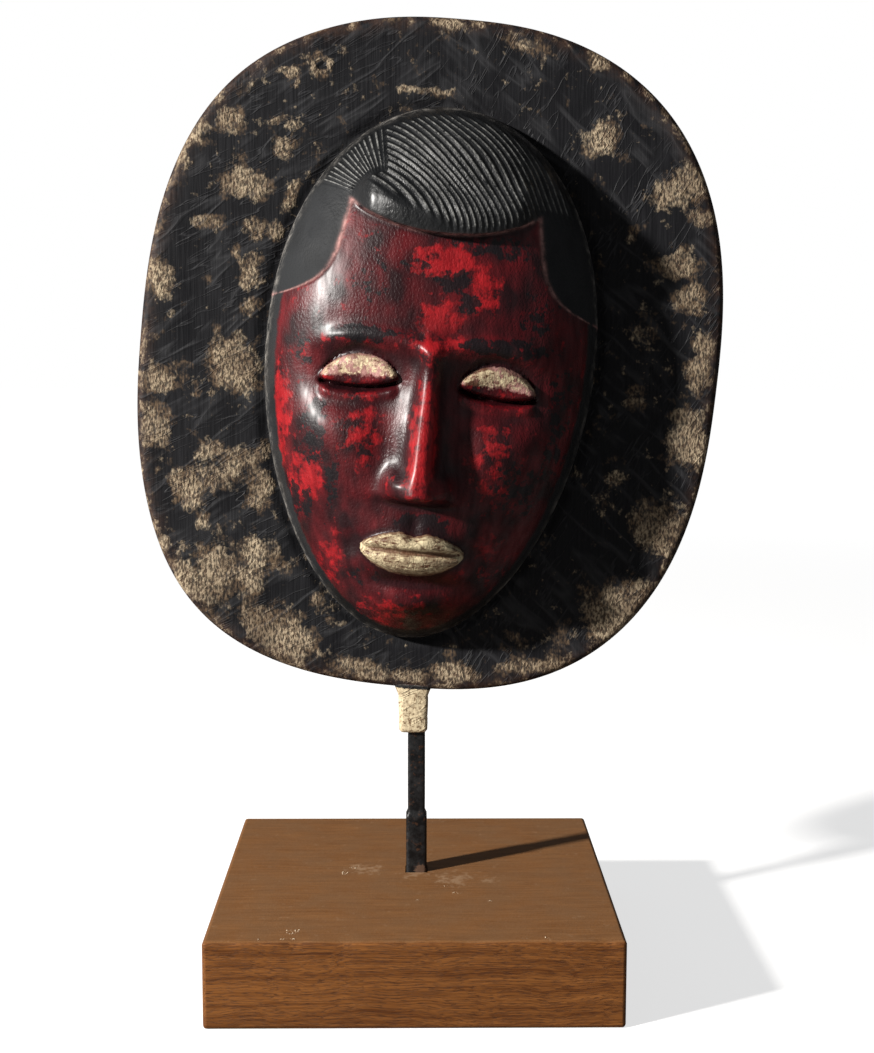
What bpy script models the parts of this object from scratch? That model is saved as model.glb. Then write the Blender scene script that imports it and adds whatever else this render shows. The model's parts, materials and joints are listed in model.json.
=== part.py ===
# A carved and painted wooden mask on an iron bar and a wooden block.
# Metres, +Z up, the mask faces -Y, and the origin is the centre of the block's underside.

import math

import bmesh
import bpy
import numpy as np

# Driving sizes, in metres and degrees
GAP = 0.0003                 # clearance where one piece sits in another

BASE_WIDTH = 0.1912
BASE_DEPTH = 0.1912
BASE_HEIGHT = 0.041
BASE_EDGE = 0.0016           # rounding of the block's edges

BAR_X = 0.0008               # the bar stands almost at the block's centre
BAR_Y = 0.006
BAR_WIDTH = 0.0088
BAR_EXPOSED = 0.0728         # bar seen between the block and the mask's tang
BAR_EDGE = 0.0007
FOOT_WIDTH = 0.0106          # the forged foot of the bar is a little wider
FOOT_EXPOSED = 0.0290
SHOULDER = 0.0022            # height of the slope between foot and bar
FOOT_DEPTH = 0.025           # foot let into the block
BAR_IN_MASK = 0.034          # bar let up into the tang and the disc

TANG_LENGTH = 0.0215         # tang seen below the disc
TANG_WALL = 0.0023           # wood left beside the bar
TANG_CHEEK = 0.0031          # wood left before and behind the bar
TANG_OFFSET = -0.0016        # the tang was carved a little to the left of the bar
TANG_SPREAD = 1.14           # widening of the tang where it runs into the disc
TANG_EDGE = 0.0020

DISC_WIDTH = 0.2828
DISC_HEIGHT = 0.3255
DISC_SQUARENESS = 2.555      # 2 is an ellipse, more is squarer
# Where the hand-cut outline swells or falls short: bearing and reach in degrees, share of the radius
HAND_CUTS = ((231.0, 17.0, 0.016), (115.0, 14.0, -0.009), (80.0, 14.0, 0.004))
DISC_THICKNESS = 0.0170
DISC_SHIFT = 0.0064          # disc's centre to the right of the bar
MASK_LEAN = 5.67             # degrees that the mask's top leans to +X
RIM_ROUND = 0.0040
BACK_ROUND = 0.0030
GROOVE_DEPTH = 0.0015        # soft groove cut round the head
GROOVE_WIDTH = 0.0060

HEAD_WIDTH = 0.160
HEAD_HEIGHT = 0.258
HEAD_RISE = 0.050            # how far the plain head stands out of the disc
HEAD_DROP = 0.008            # head's centre below the disc's
HOLLOW_RIM = 0.014           # wood left round the hollow at the back
FACE_WALL = 0.023            # wood between the hollow and the plain head's crown

# The carving is set out in shares of the head: 79 across its half, 127 up its half and 50 in relief
HALF_ACROSS = 79.0
HALF_UP = 127.0
RELIEF = 50.0
EGG = 0.10                   # how much the head narrows to the chin
DOME_POWER = 2.5             # over 2 gives steep sides and a fuller front

HAIRLINE_MIDDLE = 66.0
HAIRLINE_CORNER = 77.0
CORNER_ACROSS = 43.0
SIDEBURN_END = 31.0
SIDEBURN_FLARE = 8.0         # the sideburn's inner edge runs out this far on its way down
SIDEBURN_SWEEP = 27.0        # and this much more at its foot
HAIR_LIFT = 4.0              # the fringe stands out of the face
SIDEBURN_LIFT = -1.2         # the sideburns lie a little under it
FRINGE_ROLL = 4.5
ROLL_REACH = 9.0
STRAND_PITCH = 11.0
STRAND_DEPTH = 0.5

EYE_LEVEL = -3.0
EYE_ACROSS = 32.0
EYE_HALF = 19.0
LID_HEIGHT = 12.5
LID_LIFT = 4.6
SLIT_SAG = 3.2
SLIT_TILT = 1.2
SLIT_DEPTH = 4.2
LOWER_LID_LIFT = 2.4
BROW_LEVEL = 17.0
BROW_LIFT = 3.2

NOSE_ROOT = 14.0
NOSE_BASE = -56.0
NOSE_TIP_LIFT = 18.0
NOSE_ROOT_LIFT = 4.5
NOSE_RIDGE = 4.6             # half the ridge's width at the root
NOSE_SPREAD = 3.4            # and what it gains down to the base

MOUTH_LEVEL = -79.0
MOUTH_HALF = 25.0
UPPER_LIP = 9.0
LOWER_LIP = 11.5
LIP_LIFT = 5.5
LIP_BOW = 0.24               # share of the upper lip's height cut out at its middle
SEAM_DEPTH = 3.2

# Soft swells and hollows of the face: across, up, reach across, reach up, lift
SWELLS = {
    "socket": (31.0, -3.0, 24.0, 15.0, -8.0),
    "cheekbone": (46.0, -26.0, 17.0, 13.0, 2.6),
    "cheek": (36.0, -44.0, 22.0, 24.0, 2.4),
    "jaw hollow": (42.0, -74.0, 14.0, 20.0, -1.8),
    "beside nose": (18.0, -34.0, 7.0, 20.0, -2.0),
    "muzzle": (0.0, -78.0, 24.0, 17.0, 5.0),
    "mouth corner": (28.0, -79.0, 5.0, 6.0, -2.2),
    "philtrum": (0.0, -66.0, 3.4, 5.0, -1.6),
    "under lip": (0.0, -95.0, 19.0, 4.5, -3.2),
    "chin": (0.0, -108.0, 18.0, 10.0, 5.5),
    "nostril": (11.0, -49.0, 5.2, 6.5, 7.5),
}

# Fineness of the carved face
COLUMNS = 38
ROWS = 54
FINE_LEVELS = (EYE_LEVEL, NOSE_BASE, MOUTH_LEVEL, HAIRLINE_MIDDLE)
EDGE_CROWDING = 0.4          # 0 spaces the rows evenly, 1 crowds them to the head's edge


def ramp(low, high, value):
    t = np.clip((value - low) / (high - low), 0.0, 1.0)
    return t * t * (3.0 - 2.0 * t)


def bell(value, reach):
    return np.exp(-((value / reach) ** 2))


def head_radius(x, y):
    """0 at the head's centre and 1 on its egg-shaped edge."""
    half = HALF_ACROSS * (1.0 + EGG * y / HALF_UP)
    return np.hypot(x / half, y / HALF_UP)


def fringe_edge(across):
    bow = np.minimum(across / CORNER_ACROSS, 1.0) ** 2.2
    return HAIRLINE_MIDDLE + (HAIRLINE_CORNER - HAIRLINE_MIDDLE) * bow


def sideburn_edge(y):
    fall = np.clip((HAIRLINE_CORNER - y) / (HAIRLINE_CORNER - SIDEBURN_END), 0.0, 1.0)
    return CORNER_ACROSS + SIDEBURN_FLARE * fall + SIDEBURN_SWEEP * fall**6


def hair_inside(x, y):
    """Distance into the hair, negative on the face."""
    across = np.abs(x)
    in_fringe = y - fringe_edge(across)
    in_sideburn = np.minimum(across - sideburn_edge(y), y - SIDEBURN_END)
    return np.maximum(in_fringe, in_sideburn)


def hair(x, y):
    inside = hair_inside(x, y)
    in_fringe = ramp(CORNER_ACROSS + 2.0, CORNER_ACROSS - 10.0, np.abs(x))
    cap = (SIDEBURN_LIFT + (HAIR_LIFT - SIDEBURN_LIFT) * in_fringe) * ramp(-1.2, 1.4, inside)
    roll = FRINGE_ROLL * bell(inside - ROLL_REACH, ROLL_REACH) * ramp(-0.8, 1.6, inside) * in_fringe
    run = y * math.cos(math.radians(38.0)) + x * math.sin(math.radians(38.0)) - 0.004 * x * x
    strands = STRAND_DEPTH * np.cos(math.tau * run / STRAND_PITCH) * ramp(2.0, 10.0, inside)
    return cap + roll + strands * ramp(60.0, 80.0, y)


def eyes(x, y):
    across = np.abs(x)
    along = (across - EYE_ACROSS) / EYE_HALF
    inside = np.clip(1.0 - along**2, 0.0, 1.0)
    slit = EYE_LEVEL - SLIT_SAG * inside - SLIT_TILT * along
    up_lid = (y - slit) / (LID_HEIGHT * np.maximum(inside, 0.02) ** 0.8)
    ball = np.clip(1.0 - (up_lid - 0.25) ** 2 / 1.10, 0.0, 1.0) ** 0.8 * ramp(0.0, 0.35, inside)
    lid = LID_LIFT * ball * ramp(-0.16, 0.06, up_lid)
    crease = -1.3 * bell(up_lid - 1.30, 0.20) * ramp(0.0, 0.3, inside)
    lower = LOWER_LID_LIFT * bell(y - slit + 4.2, 2.6) * ramp(0.0, 0.4, inside)
    groove = -SLIT_DEPTH * bell(y - slit + 0.4, 1.25) * ramp(0.0, 0.25, inside)
    brow_line = BROW_LEVEL - 0.007 * (across - 27.0) ** 2
    brow = BROW_LIFT * bell(y - brow_line, 4.6) * ramp(60.0, 38.0, across)
    return lid + crease + lower + groove + brow


def nose(x, y):
    down = np.clip((NOSE_ROOT - y) / (NOSE_ROOT - NOSE_BASE), 0.0, 1.1)
    lift = NOSE_ROOT_LIFT + (NOSE_TIP_LIFT - NOSE_ROOT_LIFT) * down**1.2
    lift = lift * ramp(NOSE_ROOT + 14.0, NOSE_ROOT - 8.0, y)
    away = np.abs(x) / (NOSE_RIDGE + NOSE_SPREAD * down**1.6)
    under = ramp(NOSE_BASE - 2.2, NOSE_BASE + 3.6, y)
    return lift * (0.64 * np.exp(-(away**3)) + 0.36 * np.exp(-((away / 2.0) ** 2))) * under


def lips(x, y):
    along = x / MOUTH_HALF
    inside = np.clip(1.0 - along**2, 0.0, 1.0)
    dip = 1.0 - LIP_BOW * bell(along, 0.17)
    upper = (y - MOUTH_LEVEL) / (UPPER_LIP * np.maximum(inside, 0.02) ** 0.75 * dip)
    lower = (MOUTH_LEVEL - y) / (LOWER_LIP * np.maximum(inside, 0.02) ** 0.7)
    shape = ramp(1.08, 0.72, upper) * ramp(1.08, 0.66, lower) * ramp(0.0, 0.25, inside)
    seam = -SEAM_DEPTH * bell(y - MOUTH_LEVEL, 1.7) * ramp(0.0, 0.3, inside)
    return LIP_LIFT * shape + seam


def swells(x, y):
    total = 0.0
    for across, up, reach_across, reach_up, lift in SWELLS.values():
        total = total + lift * bell(np.abs(x) - across, reach_across) * bell(y - up, reach_up)
    under_nose = ramp(NOSE_BASE - 3.0, NOSE_BASE + 3.0, y)
    nostril = SWELLS["nostril"]
    wing = nostril[4] * bell(np.abs(x) - nostril[0], nostril[2]) * bell(y - nostril[1], nostril[3])
    return total - wing * (1.0 - under_nose)


def head_relief(x, y):
    """Height of the carving over the disc's front, in the head's own shares."""
    radius = head_radius(x, y)
    dome = RELIEF * np.sqrt(np.clip(1.0 - radius**DOME_POWER, 0.0, 1.0))
    carving = swells(x, y) + eyes(x, y) + nose(x, y) + lips(x, y) + hair(x, y)
    return dome + carving * ramp(1.0, 0.80, radius)


def head_point(x, y):
    """Shares of the head to the mask's own metres: across, up and out of the disc's front."""
    out = head_relief(x, y) * HEAD_RISE / RELIEF - GROOVE_DEPTH * head_radius(x, y) ** 12
    across = x * HEAD_WIDTH / (2.0 * HALF_ACROSS)
    up = y * HEAD_HEIGHT / (2.0 * HALF_UP) - HEAD_DROP
    return across, up, out


def crowd(value):
    return (1.0 - EDGE_CROWDING) * value + EDGE_CROWDING * np.sin(value * math.pi / 2.0)


def spacing(count, levels, reach, weight):
    """Grid lines from -1 to 1, closer together at the levels given."""
    steps = np.linspace(-1.0, 1.0, 801)
    density = 1.0 + sum(weight * bell(crowd(steps) - level, reach) for level in levels)
    run = np.concatenate([[0.0], np.cumsum((density[1:] + density[:-1]) / 2.0)])
    return np.interp(np.linspace(0.0, run[-1], count + 1), run, steps)


def disc_radius(bearing):
    half_across = DISC_WIDTH / 2.0
    half_up = DISC_HEIGHT / 2.0
    across = (abs(math.cos(bearing)) / half_across) ** DISC_SQUARENESS
    up = (abs(math.sin(bearing)) / half_up) ** DISC_SQUARENESS
    share = 1.0
    for middle, reach, swell in HAND_CUTS:
        away = (math.degrees(bearing) - middle + 180.0) % 360.0 - 180.0
        share += swell * math.exp(-((away / reach) ** 2))
    return share * (across + up) ** (-1.0 / DISC_SQUARENESS)


def disc_reach_below():
    """How far the leaning disc reaches below its centre."""
    lean = math.radians(MASK_LEAN)
    bearings = [math.tau * step / 720 for step in range(720)]
    rises = [
        disc_radius(b) * (math.sin(b) * math.cos(lean) - math.cos(b) * math.sin(lean)) for b in bearings
    ]
    return -min(rises)


def ring_on_disc(edge, outward, inset, out):
    """A point beside the head: outward metres from the head's edge, or inset metres from the rim."""
    bearing = math.atan2(edge[1], edge[0])
    radius = disc_radius(bearing) - inset if outward is None else math.hypot(edge[0], edge[1]) + outward
    return radius * math.cos(bearing), radius * math.sin(bearing), out


def ring_half_way(edge):
    bearing = math.atan2(edge[1], edge[0])
    radius = (math.hypot(edge[0], edge[1]) + disc_radius(bearing)) / 2.0
    return radius * math.cos(bearing), radius * math.sin(bearing), 0.0


def ring_in_hollow(edge, share, out):
    """A point of the hollow, a share of the way from the head's centre line to the hollow's rim."""
    up = edge[1] + HEAD_DROP
    length = math.hypot(edge[0], up)
    scale = (1.0 - HOLLOW_RIM / length) * share
    return edge[0] * scale, up * scale - HEAD_DROP, out


def mask_rings():
    """The rings of points that follow the head's edge out over the rim and into the hollow."""
    back = -DISC_THICKNESS
    rings = [
        lambda edge: ring_on_disc(edge, GROOVE_WIDTH, 0.0, 0.0),
        ring_half_way,
        lambda edge: ring_on_disc(edge, None, RIM_ROUND, 0.0),
        lambda edge: ring_on_disc(edge, None, RIM_ROUND * 0.3, -RIM_ROUND * 0.3),
        lambda edge: ring_on_disc(edge, None, 0.0, -RIM_ROUND),
        lambda edge: ring_on_disc(edge, None, 0.0, back + BACK_ROUND),
        lambda edge: ring_on_disc(edge, None, BACK_ROUND, back),
        lambda edge: ring_in_hollow(edge, 1.0, back),
    ]
    depth = HEAD_RISE + DISC_THICKNESS - FACE_WALL
    for angle in (24.0, 50.0, 72.0):
        share = math.cos(math.radians(angle)) ** 0.8
        rise = depth * math.sin(math.radians(angle)) ** 0.8
        rings.append(lambda edge, share=share, rise=rise: ring_in_hollow(edge, share, back + rise))
    return rings, back + depth


def mask_mesh():
    """The face, the disc, its rim and its hollow back as one closed skin, in the mask's own frame."""
    bm = bmesh.new()
    bmesh.ops.create_grid(bm, x_segments=COLUMNS, y_segments=ROWS, size=1.0)
    columns = spacing(COLUMNS, (0.0,), 0.18, 1.0)
    rows = spacing(ROWS, [level / HALF_UP for level in FINE_LEVELS], 0.07, 1.6)
    edge_layer = bm.verts.layers.float_vector.new("head_edge")
    for vert in bm.verts:
        a = columns[round((vert.co.x + 1.0) * COLUMNS / 2.0)]
        b = rows[round((vert.co.y + 1.0) * ROWS / 2.0)]
        # A square grid laid on a round plate, its outer lines on the edge
        x = a * math.sqrt(1.0 - b * b / 2.0)
        y = b * math.sqrt(1.0 - a * a / 2.0)
        radius = math.hypot(x, y)
        grow = crowd(radius) / radius if radius > 1e-6 else 1.0
        up = y * grow * HALF_UP
        across = x * grow * HALF_ACROSS * (1.0 + EGG * up / HALF_UP)
        point = head_point(across, up)
        vert.co = (point[0], -point[2], point[1])
        vert[edge_layer] = (point[0], point[1], 0.0)
    loop = [edge for edge in bm.edges if edge.is_boundary]
    rings, crown = mask_rings()
    for ring in rings:
        extruded = bmesh.ops.extrude_edge_only(bm, edges=loop)["geom"]
        for vert in [item for item in extruded if isinstance(item, bmesh.types.BMVert)]:
            point = ring(vert[edge_layer])
            vert.co = (point[0], -point[2], point[1])
        loop = [item for item in extruded if isinstance(item, bmesh.types.BMEdge) and item.is_boundary]
    extruded = bmesh.ops.extrude_edge_only(bm, edges=loop)["geom"]
    pole = [item for item in extruded if isinstance(item, bmesh.types.BMVert)]
    bmesh.ops.pointmerge(bm, verts=pole, merge_co=(0.0, -crown, -HEAD_DROP))
    bmesh.ops.recalc_face_normals(bm, faces=bm.faces)
    bmesh.ops.triangulate(bm, faces=bm.faces)
    mesh = bpy.data.meshes.new("mask")
    bm.to_mesh(mesh)
    bm.free()
    return mesh


def box_mesh(name, width, depth, bottom, top, spread=1.0):
    """A box from bottom to top, centred across, whose top face is spread times as wide."""
    bm = bmesh.new()
    bmesh.ops.create_cube(bm, size=1.0)
    for vert in bm.verts:
        at_top = vert.co.z > 0.0
        vert.co.x *= width * (spread if at_top else 1.0)
        vert.co.y *= depth
        vert.co.z = top if at_top else bottom
    mesh = bpy.data.meshes.new(name)
    bm.to_mesh(mesh)
    bm.free()
    return mesh


def bar_mesh():
    """The foot, its sloped shoulder and the bar, extruded up from one box."""
    bottom = BASE_HEIGHT - FOOT_DEPTH + GAP
    foot_top = BASE_HEIGHT + FOOT_EXPOSED
    bm = bmesh.new()
    bmesh.ops.create_cube(bm, size=1.0)
    for vert in bm.verts:
        vert.co.x *= FOOT_WIDTH
        vert.co.y *= FOOT_WIDTH
        vert.co.z = foot_top if vert.co.z > 0.0 else bottom
    cap = max(bm.faces, key=lambda face: face.calc_center_median().z)
    for height, scale in ((foot_top + SHOULDER, BAR_WIDTH / FOOT_WIDTH), (bar_top(), 1.0)):
        extruded = bmesh.ops.extrude_discrete_faces(bm, faces=[cap])
        cap = extruded["faces"][0]
        for vert in cap.verts:
            vert.co.x *= scale
            vert.co.y *= scale
            vert.co.z = height
    bmesh.ops.recalc_face_normals(bm, faces=bm.faces)
    mesh = bpy.data.meshes.new("stand_bar")
    bm.to_mesh(mesh)
    bm.free()
    return mesh


def tang_bottom():
    return BASE_HEIGHT + BAR_EXPOSED


def bar_top():
    return tang_bottom() + BAR_IN_MASK


def add_object(name, mesh, collection, parent, location=(0.0, 0.0, 0.0)):
    piece = bpy.data.objects.new(name, mesh)
    piece.location = location
    piece.parent = parent
    collection.objects.link(piece)
    return piece


def round_edges(piece, width, segments, angle=60.0):
    bevel = piece.modifiers.new("rounded edges", "BEVEL")
    bevel.width = width
    bevel.segments = segments
    bevel.limit_method = "ANGLE"
    bevel.angle_limit = math.radians(angle)


def combine(piece, tool, operation):
    boolean = piece.modifiers.new(operation.lower() + " " + tool.name, "BOOLEAN")
    boolean.operation = operation
    boolean.object = tool
    tool.hide_render = True
    tool.display_type = "WIRE"


def paint(piece, name, colour, roughness, metallic):
    material = bpy.data.materials.new(name)
    material.use_nodes = True
    shader = material.node_tree.nodes["Principled BSDF"]
    shader.inputs["Base Color"].default_value = (*colour, 1.0)
    shader.inputs["Roughness"].default_value = roughness
    shader.inputs["Metallic"].default_value = metallic
    piece.data.materials.append(material)


def shade(piece, angle):
    piece.data.shade_smooth()
    piece.data.set_sharp_from_angle(angle=math.radians(angle))


def make_base(pieces, tools, stand):
    base = add_object(
        "base_block", box_mesh("base_block", BASE_WIDTH, BASE_DEPTH, 0.0, BASE_HEIGHT), pieces, stand
    )
    paint(base, "brown_wood", (0.22, 0.115, 0.055), 0.55, 0.0)
    round_edges(base, BASE_EDGE, 3)
    width = FOOT_WIDTH + 2.0 * GAP
    mortise = add_object(
        "base_mortise",
        box_mesh("base_mortise", width, width, BASE_HEIGHT - FOOT_DEPTH, BASE_HEIGHT + FOOT_DEPTH),
        tools,
        stand,
        (BAR_X, BAR_Y, 0.0),
    )
    combine(base, mortise, "DIFFERENCE")
    shade(base, 35.0)


def make_bar(pieces, stand):
    bar = add_object("stand_bar", bar_mesh(), pieces, stand, (BAR_X, BAR_Y, 0.0))
    paint(bar, "black_iron", (0.012, 0.013, 0.015), 0.45, 0.6)
    round_edges(bar, BAR_EDGE, 2)
    shade(bar, 35.0)


def make_mask(pieces, tools, stand):
    centre_height = tang_bottom() + TANG_LENGTH + disc_reach_below()
    front = BAR_Y - DISC_THICKNESS / 2.0
    mask = add_object("mask", mask_mesh(), pieces, stand, (BAR_X + DISC_SHIFT, front, centre_height))
    mask.rotation_euler = (0.0, math.radians(MASK_LEAN), 0.0)
    paint(mask, "painted_wood", (0.025, 0.024, 0.026), 0.5, 0.0)

    width = BAR_WIDTH + 2.0 * GAP + 2.0 * TANG_WALL
    depth = BAR_WIDTH + 2.0 * GAP + 2.0 * TANG_CHEEK
    tang_top = tang_bottom() + TANG_LENGTH + DISC_THICKNESS
    tang = add_object(
        "tang",
        box_mesh("tang", width, depth, tang_bottom(), tang_top, TANG_SPREAD),
        tools,
        stand,
        (BAR_X + TANG_OFFSET, BAR_Y, 0.0),
    )
    round_edges(tang, TANG_EDGE, 3)
    combine(mask, tang, "UNION")

    hole = BAR_WIDTH + 2.0 * GAP
    mortise = add_object(
        "mask_mortise",
        box_mesh("mask_mortise", hole, hole, tang_bottom() - TANG_LENGTH, bar_top() + GAP),
        tools,
        stand,
        (BAR_X, BAR_Y, 0.0),
    )
    combine(mask, mortise, "DIFFERENCE")
    shade(mask, 45.0)


def main():
    for old in list(bpy.data.objects):
        bpy.data.objects.remove(old, do_unlink=True)
    pieces = bpy.data.collections.new("mask_on_stand")
    tools = bpy.data.collections.new("cutters")
    for collection in (pieces, tools):
        bpy.context.scene.collection.children.link(collection)
    stand = bpy.data.objects.new("mask_on_stand_origin", None)
    pieces.objects.link(stand)
    make_base(pieces, tools, stand)
    make_bar(pieces, stand)
    make_mask(pieces, tools, stand)


main()
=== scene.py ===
import json
import math

import bmesh
import bpy
import numpy as np
from mathutils import Matrix, Vector

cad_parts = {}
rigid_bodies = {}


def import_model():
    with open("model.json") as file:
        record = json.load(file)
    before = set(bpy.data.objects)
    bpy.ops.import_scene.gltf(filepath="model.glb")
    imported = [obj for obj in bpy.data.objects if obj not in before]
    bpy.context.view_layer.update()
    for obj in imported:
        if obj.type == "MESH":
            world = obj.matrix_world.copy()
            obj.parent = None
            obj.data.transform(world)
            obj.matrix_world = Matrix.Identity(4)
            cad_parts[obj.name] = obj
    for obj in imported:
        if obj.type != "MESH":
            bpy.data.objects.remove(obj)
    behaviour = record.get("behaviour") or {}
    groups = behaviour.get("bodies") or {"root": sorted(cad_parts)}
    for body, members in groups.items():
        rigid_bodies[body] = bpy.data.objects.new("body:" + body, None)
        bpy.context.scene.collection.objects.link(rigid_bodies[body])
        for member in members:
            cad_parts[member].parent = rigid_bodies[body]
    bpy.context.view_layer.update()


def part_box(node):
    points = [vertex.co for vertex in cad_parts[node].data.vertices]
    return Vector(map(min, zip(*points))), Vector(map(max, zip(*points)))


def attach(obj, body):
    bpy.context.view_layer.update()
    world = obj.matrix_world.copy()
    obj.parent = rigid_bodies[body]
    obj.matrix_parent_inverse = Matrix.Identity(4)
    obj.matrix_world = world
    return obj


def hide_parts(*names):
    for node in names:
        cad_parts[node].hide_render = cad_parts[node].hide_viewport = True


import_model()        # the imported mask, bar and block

for startObject in [o for o in bpy.data.objects if o.name in ("Cube", "Light", "Camera")]:
    bpy.data.objects.remove(startObject)

mm = 0.001
clearance = 0.3 * mm           # round the bar in its mortises
beyond = 10.0 * mm             # how far a cutter stands out of what it cuts
maskLow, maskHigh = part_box("mask")
barLow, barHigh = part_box("stand_bar")
baseLow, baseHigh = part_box("base_block")


# Camera, floor and light

view = {
    "place": (0.0, -0.806, 0.3116),
    "pitchDown": 6.66,        # degrees
    "turnRight": 0.77,
    "roll": 0.13,
    "focalPixels": 1643.0,
    "pictureWide": 874.0,
    "pictureHigh": 1053.0,
}


def viewAxes():
    pitch, turn, roll = (math.radians(view[key]) for key in ("pitchDown", "turnRight", "roll"))
    ahead = Vector((math.sin(turn) * math.cos(pitch), math.cos(turn) * math.cos(pitch), -math.sin(pitch)))
    right = Vector((math.cos(turn), -math.sin(turn), 0.0))
    up = right.cross(ahead)
    rolledRight = right * math.cos(roll) + up * math.sin(roll)
    rolledUp = up * math.cos(roll) - right * math.sin(roll)
    return rolledRight, rolledUp, ahead


def seenAt(pixelX, pixelY, axis, level):   # the point that a pixel sees where x, y or z has this level
    right, up, ahead = viewAxes()
    ray = ahead + right * ((pixelX - view["pictureWide"] / 2.0) / view["focalPixels"])
    ray -= up * ((pixelY - view["pictureHigh"] / 2.0) / view["focalPixels"])
    return Vector(view["place"]) + ray * ((level - view["place"][axis]) / ray[axis])


studio = {
    "floorRadius": 9.0,
    "aim": (0.0, 0.0, 0.27),
    "paperSeen": 0.52,          # the paper's tone and glow near the object, as the camera sees them
    "paperGlow": 0.68,
    "paperThrown": 0.22,        # its tone for the light that it throws on the object
    "sky": (0.116, 0.119, 0.123),
}
lamps = {                       # place, width, watts, colour
    "keyLight": ((-2.61, -1.54, 1.37), 0.17, 255.0, (1.0, 0.97, 0.93)),
    "fillLight": ((1.1, -1.3, 0.7), 1.2, 0.6, (0.94, 0.96, 1.0)),
}
black, white = (0.0, 0.0, 0.0), (1.0, 1.0, 1.0)


def meshOf(name, bm):
    mesh = bpy.data.meshes.new(name)
    bm.to_mesh(mesh)
    bm.free()
    return mesh


def linked(name, data):
    piece = bpy.data.objects.new(name, data)
    bpy.context.scene.collection.objects.link(piece)
    return piece


def makeCamera():
    right, up, ahead = viewAxes()
    lens = bpy.data.cameras.new("studioCamera")
    lens.sensor_width = 36.0
    lens.lens = view["focalPixels"] / view["pictureHigh"] * lens.sensor_width
    camera = linked("studioCamera", lens)
    turn = Matrix((right, up, -ahead)).transposed()
    camera.matrix_world = Matrix.Translation(view["place"]) @ turn.to_4x4()
    bpy.context.scene.camera = camera


def areaLight(name, place, size, watts, colour):
    lamp = bpy.data.lights.new(name, "AREA")
    lamp.size = size
    lamp.energy = watts
    lamp.color = colour
    light = linked(name, lamp)
    light.location = place
    aim = Vector(studio["aim"]) - Vector(place)
    light.rotation_euler = aim.to_track_quat("-Z", "Y").to_euler()


def makeStudio():
    bm = bmesh.new()
    bmesh.ops.create_circle(bm, cap_ends=True, segments=96, radius=studio["floorRadius"])
    floor = linked("studioFloor", meshOf("studioFloor", bm))
    paper, tree, shader, place = newMaterial("palePaper", 0.1)
    seen = addNode(tree, "ShaderNodeLightPath").outputs["Is Camera Ray"]
    away = addNode(tree, "ShaderNodeVectorMath", {0: place}, operation="LENGTH").outputs["Value"]
    far = mathNode(tree, "MULTIPLY_ADD", away, 0.8, -0.5, clamp=True)   # the paper fades to white behind the object
    tone = paintOver(tree, far, (studio["paperSeen"],) * 3, black)
    tree.links.new(paintOver(tree, seen, (studio["paperThrown"],) * 3, tone), shader.inputs["Base Color"])
    glow = paintOver(tree, far, (studio["paperGlow"],) * 3, white)
    tree.links.new(paintOver(tree, seen, black, glow), shader.inputs["Emission Color"])
    shader.inputs["Emission Strength"].default_value = 1.0
    shader.inputs["Roughness"].default_value = 0.9
    floor.data.materials.append(paper)

    world = bpy.data.worlds.new("studioWorld")
    world.use_nodes = True
    tree = world.node_tree
    seen = addNode(tree, "ShaderNodeLightPath").outputs["Is Camera Ray"]
    tree.links.new(paintOver(tree, seen, studio["sky"], white), tree.nodes["Background"].inputs["Color"])
    bpy.context.scene.world = world
    for name, lamp in lamps.items():
        areaLight(name, *lamp)


# The mask's sizes, as the solid has them

disc = {
    "wide": 0.2828,
    "high": 0.3255,
    "squareness": 2.555,
    "thick": 0.0170,
    "lean": math.radians(5.67),
    "rimRound": 0.0040,
    "backRound": 0.0030,
    "grooveDeep": 0.0015,
    "grooveWide": 0.0060,
    "handCut": ((231.0, 17.0, 0.016), (115.0, 14.0, -0.009), (80.0, 14.0, 0.004)),   # bearing, reach, share
}
head = {
    "wide": 0.160,
    "high": 0.258,
    "rise": 0.050,
    "drop": 0.008,          # head's centre below the disc's
    "hollowRim": 0.014,
    "faceWall": 0.023,
    "halfAcross": 79.0,     # the carving is set out in shares: 79 across, 127 up, 50 in relief
    "halfUp": 127.0,
    "relief": 50.0,
    "egg": 0.10,
    "domePower": 2.5,
}
hairCut = {
    "middle": 66.0,
    "corner": 77.0,
    "cornerAcross": 43.0,
    "sideburnEnd": 31.0,
    "lift": 4.0,
    "sideburnLift": -1.2,
    "sideburnFlare": 8.0,
    "sideburnSweep": 27.0,
    "roll": 4.5,
    "rollReach": 9.0,
    "overhang": 2.2,
    "strandPitch": 11.0,
    "strandDeep": 0.25,
    "strandSlant": math.radians(38.0),
}
eye = {
    "level": -3.0,
    "across": 32.0,
    "half": 19.0,
    "lidHigh": 12.5,
    "lidLift": 4.6,
    "lowerLidLift": 2.4,
    "slitDeep": 4.2,
    "slitSag": 3.2,
    "slitTilt": 1.2,
    "brow": 17.0,
    "browLift": 3.2,
}
noseCut = {"root": 14.0, "base": -56.0, "rootLift": 4.5, "tipLift": 18.0, "ridge": 4.6, "spread": 3.4}
mouth = {"level": -79.0, "half": 25.0, "upperLip": 9.0, "lowerLip": 11.5, "lift": 5.5, "bow": 0.24, "seamDeep": 3.2}
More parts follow.
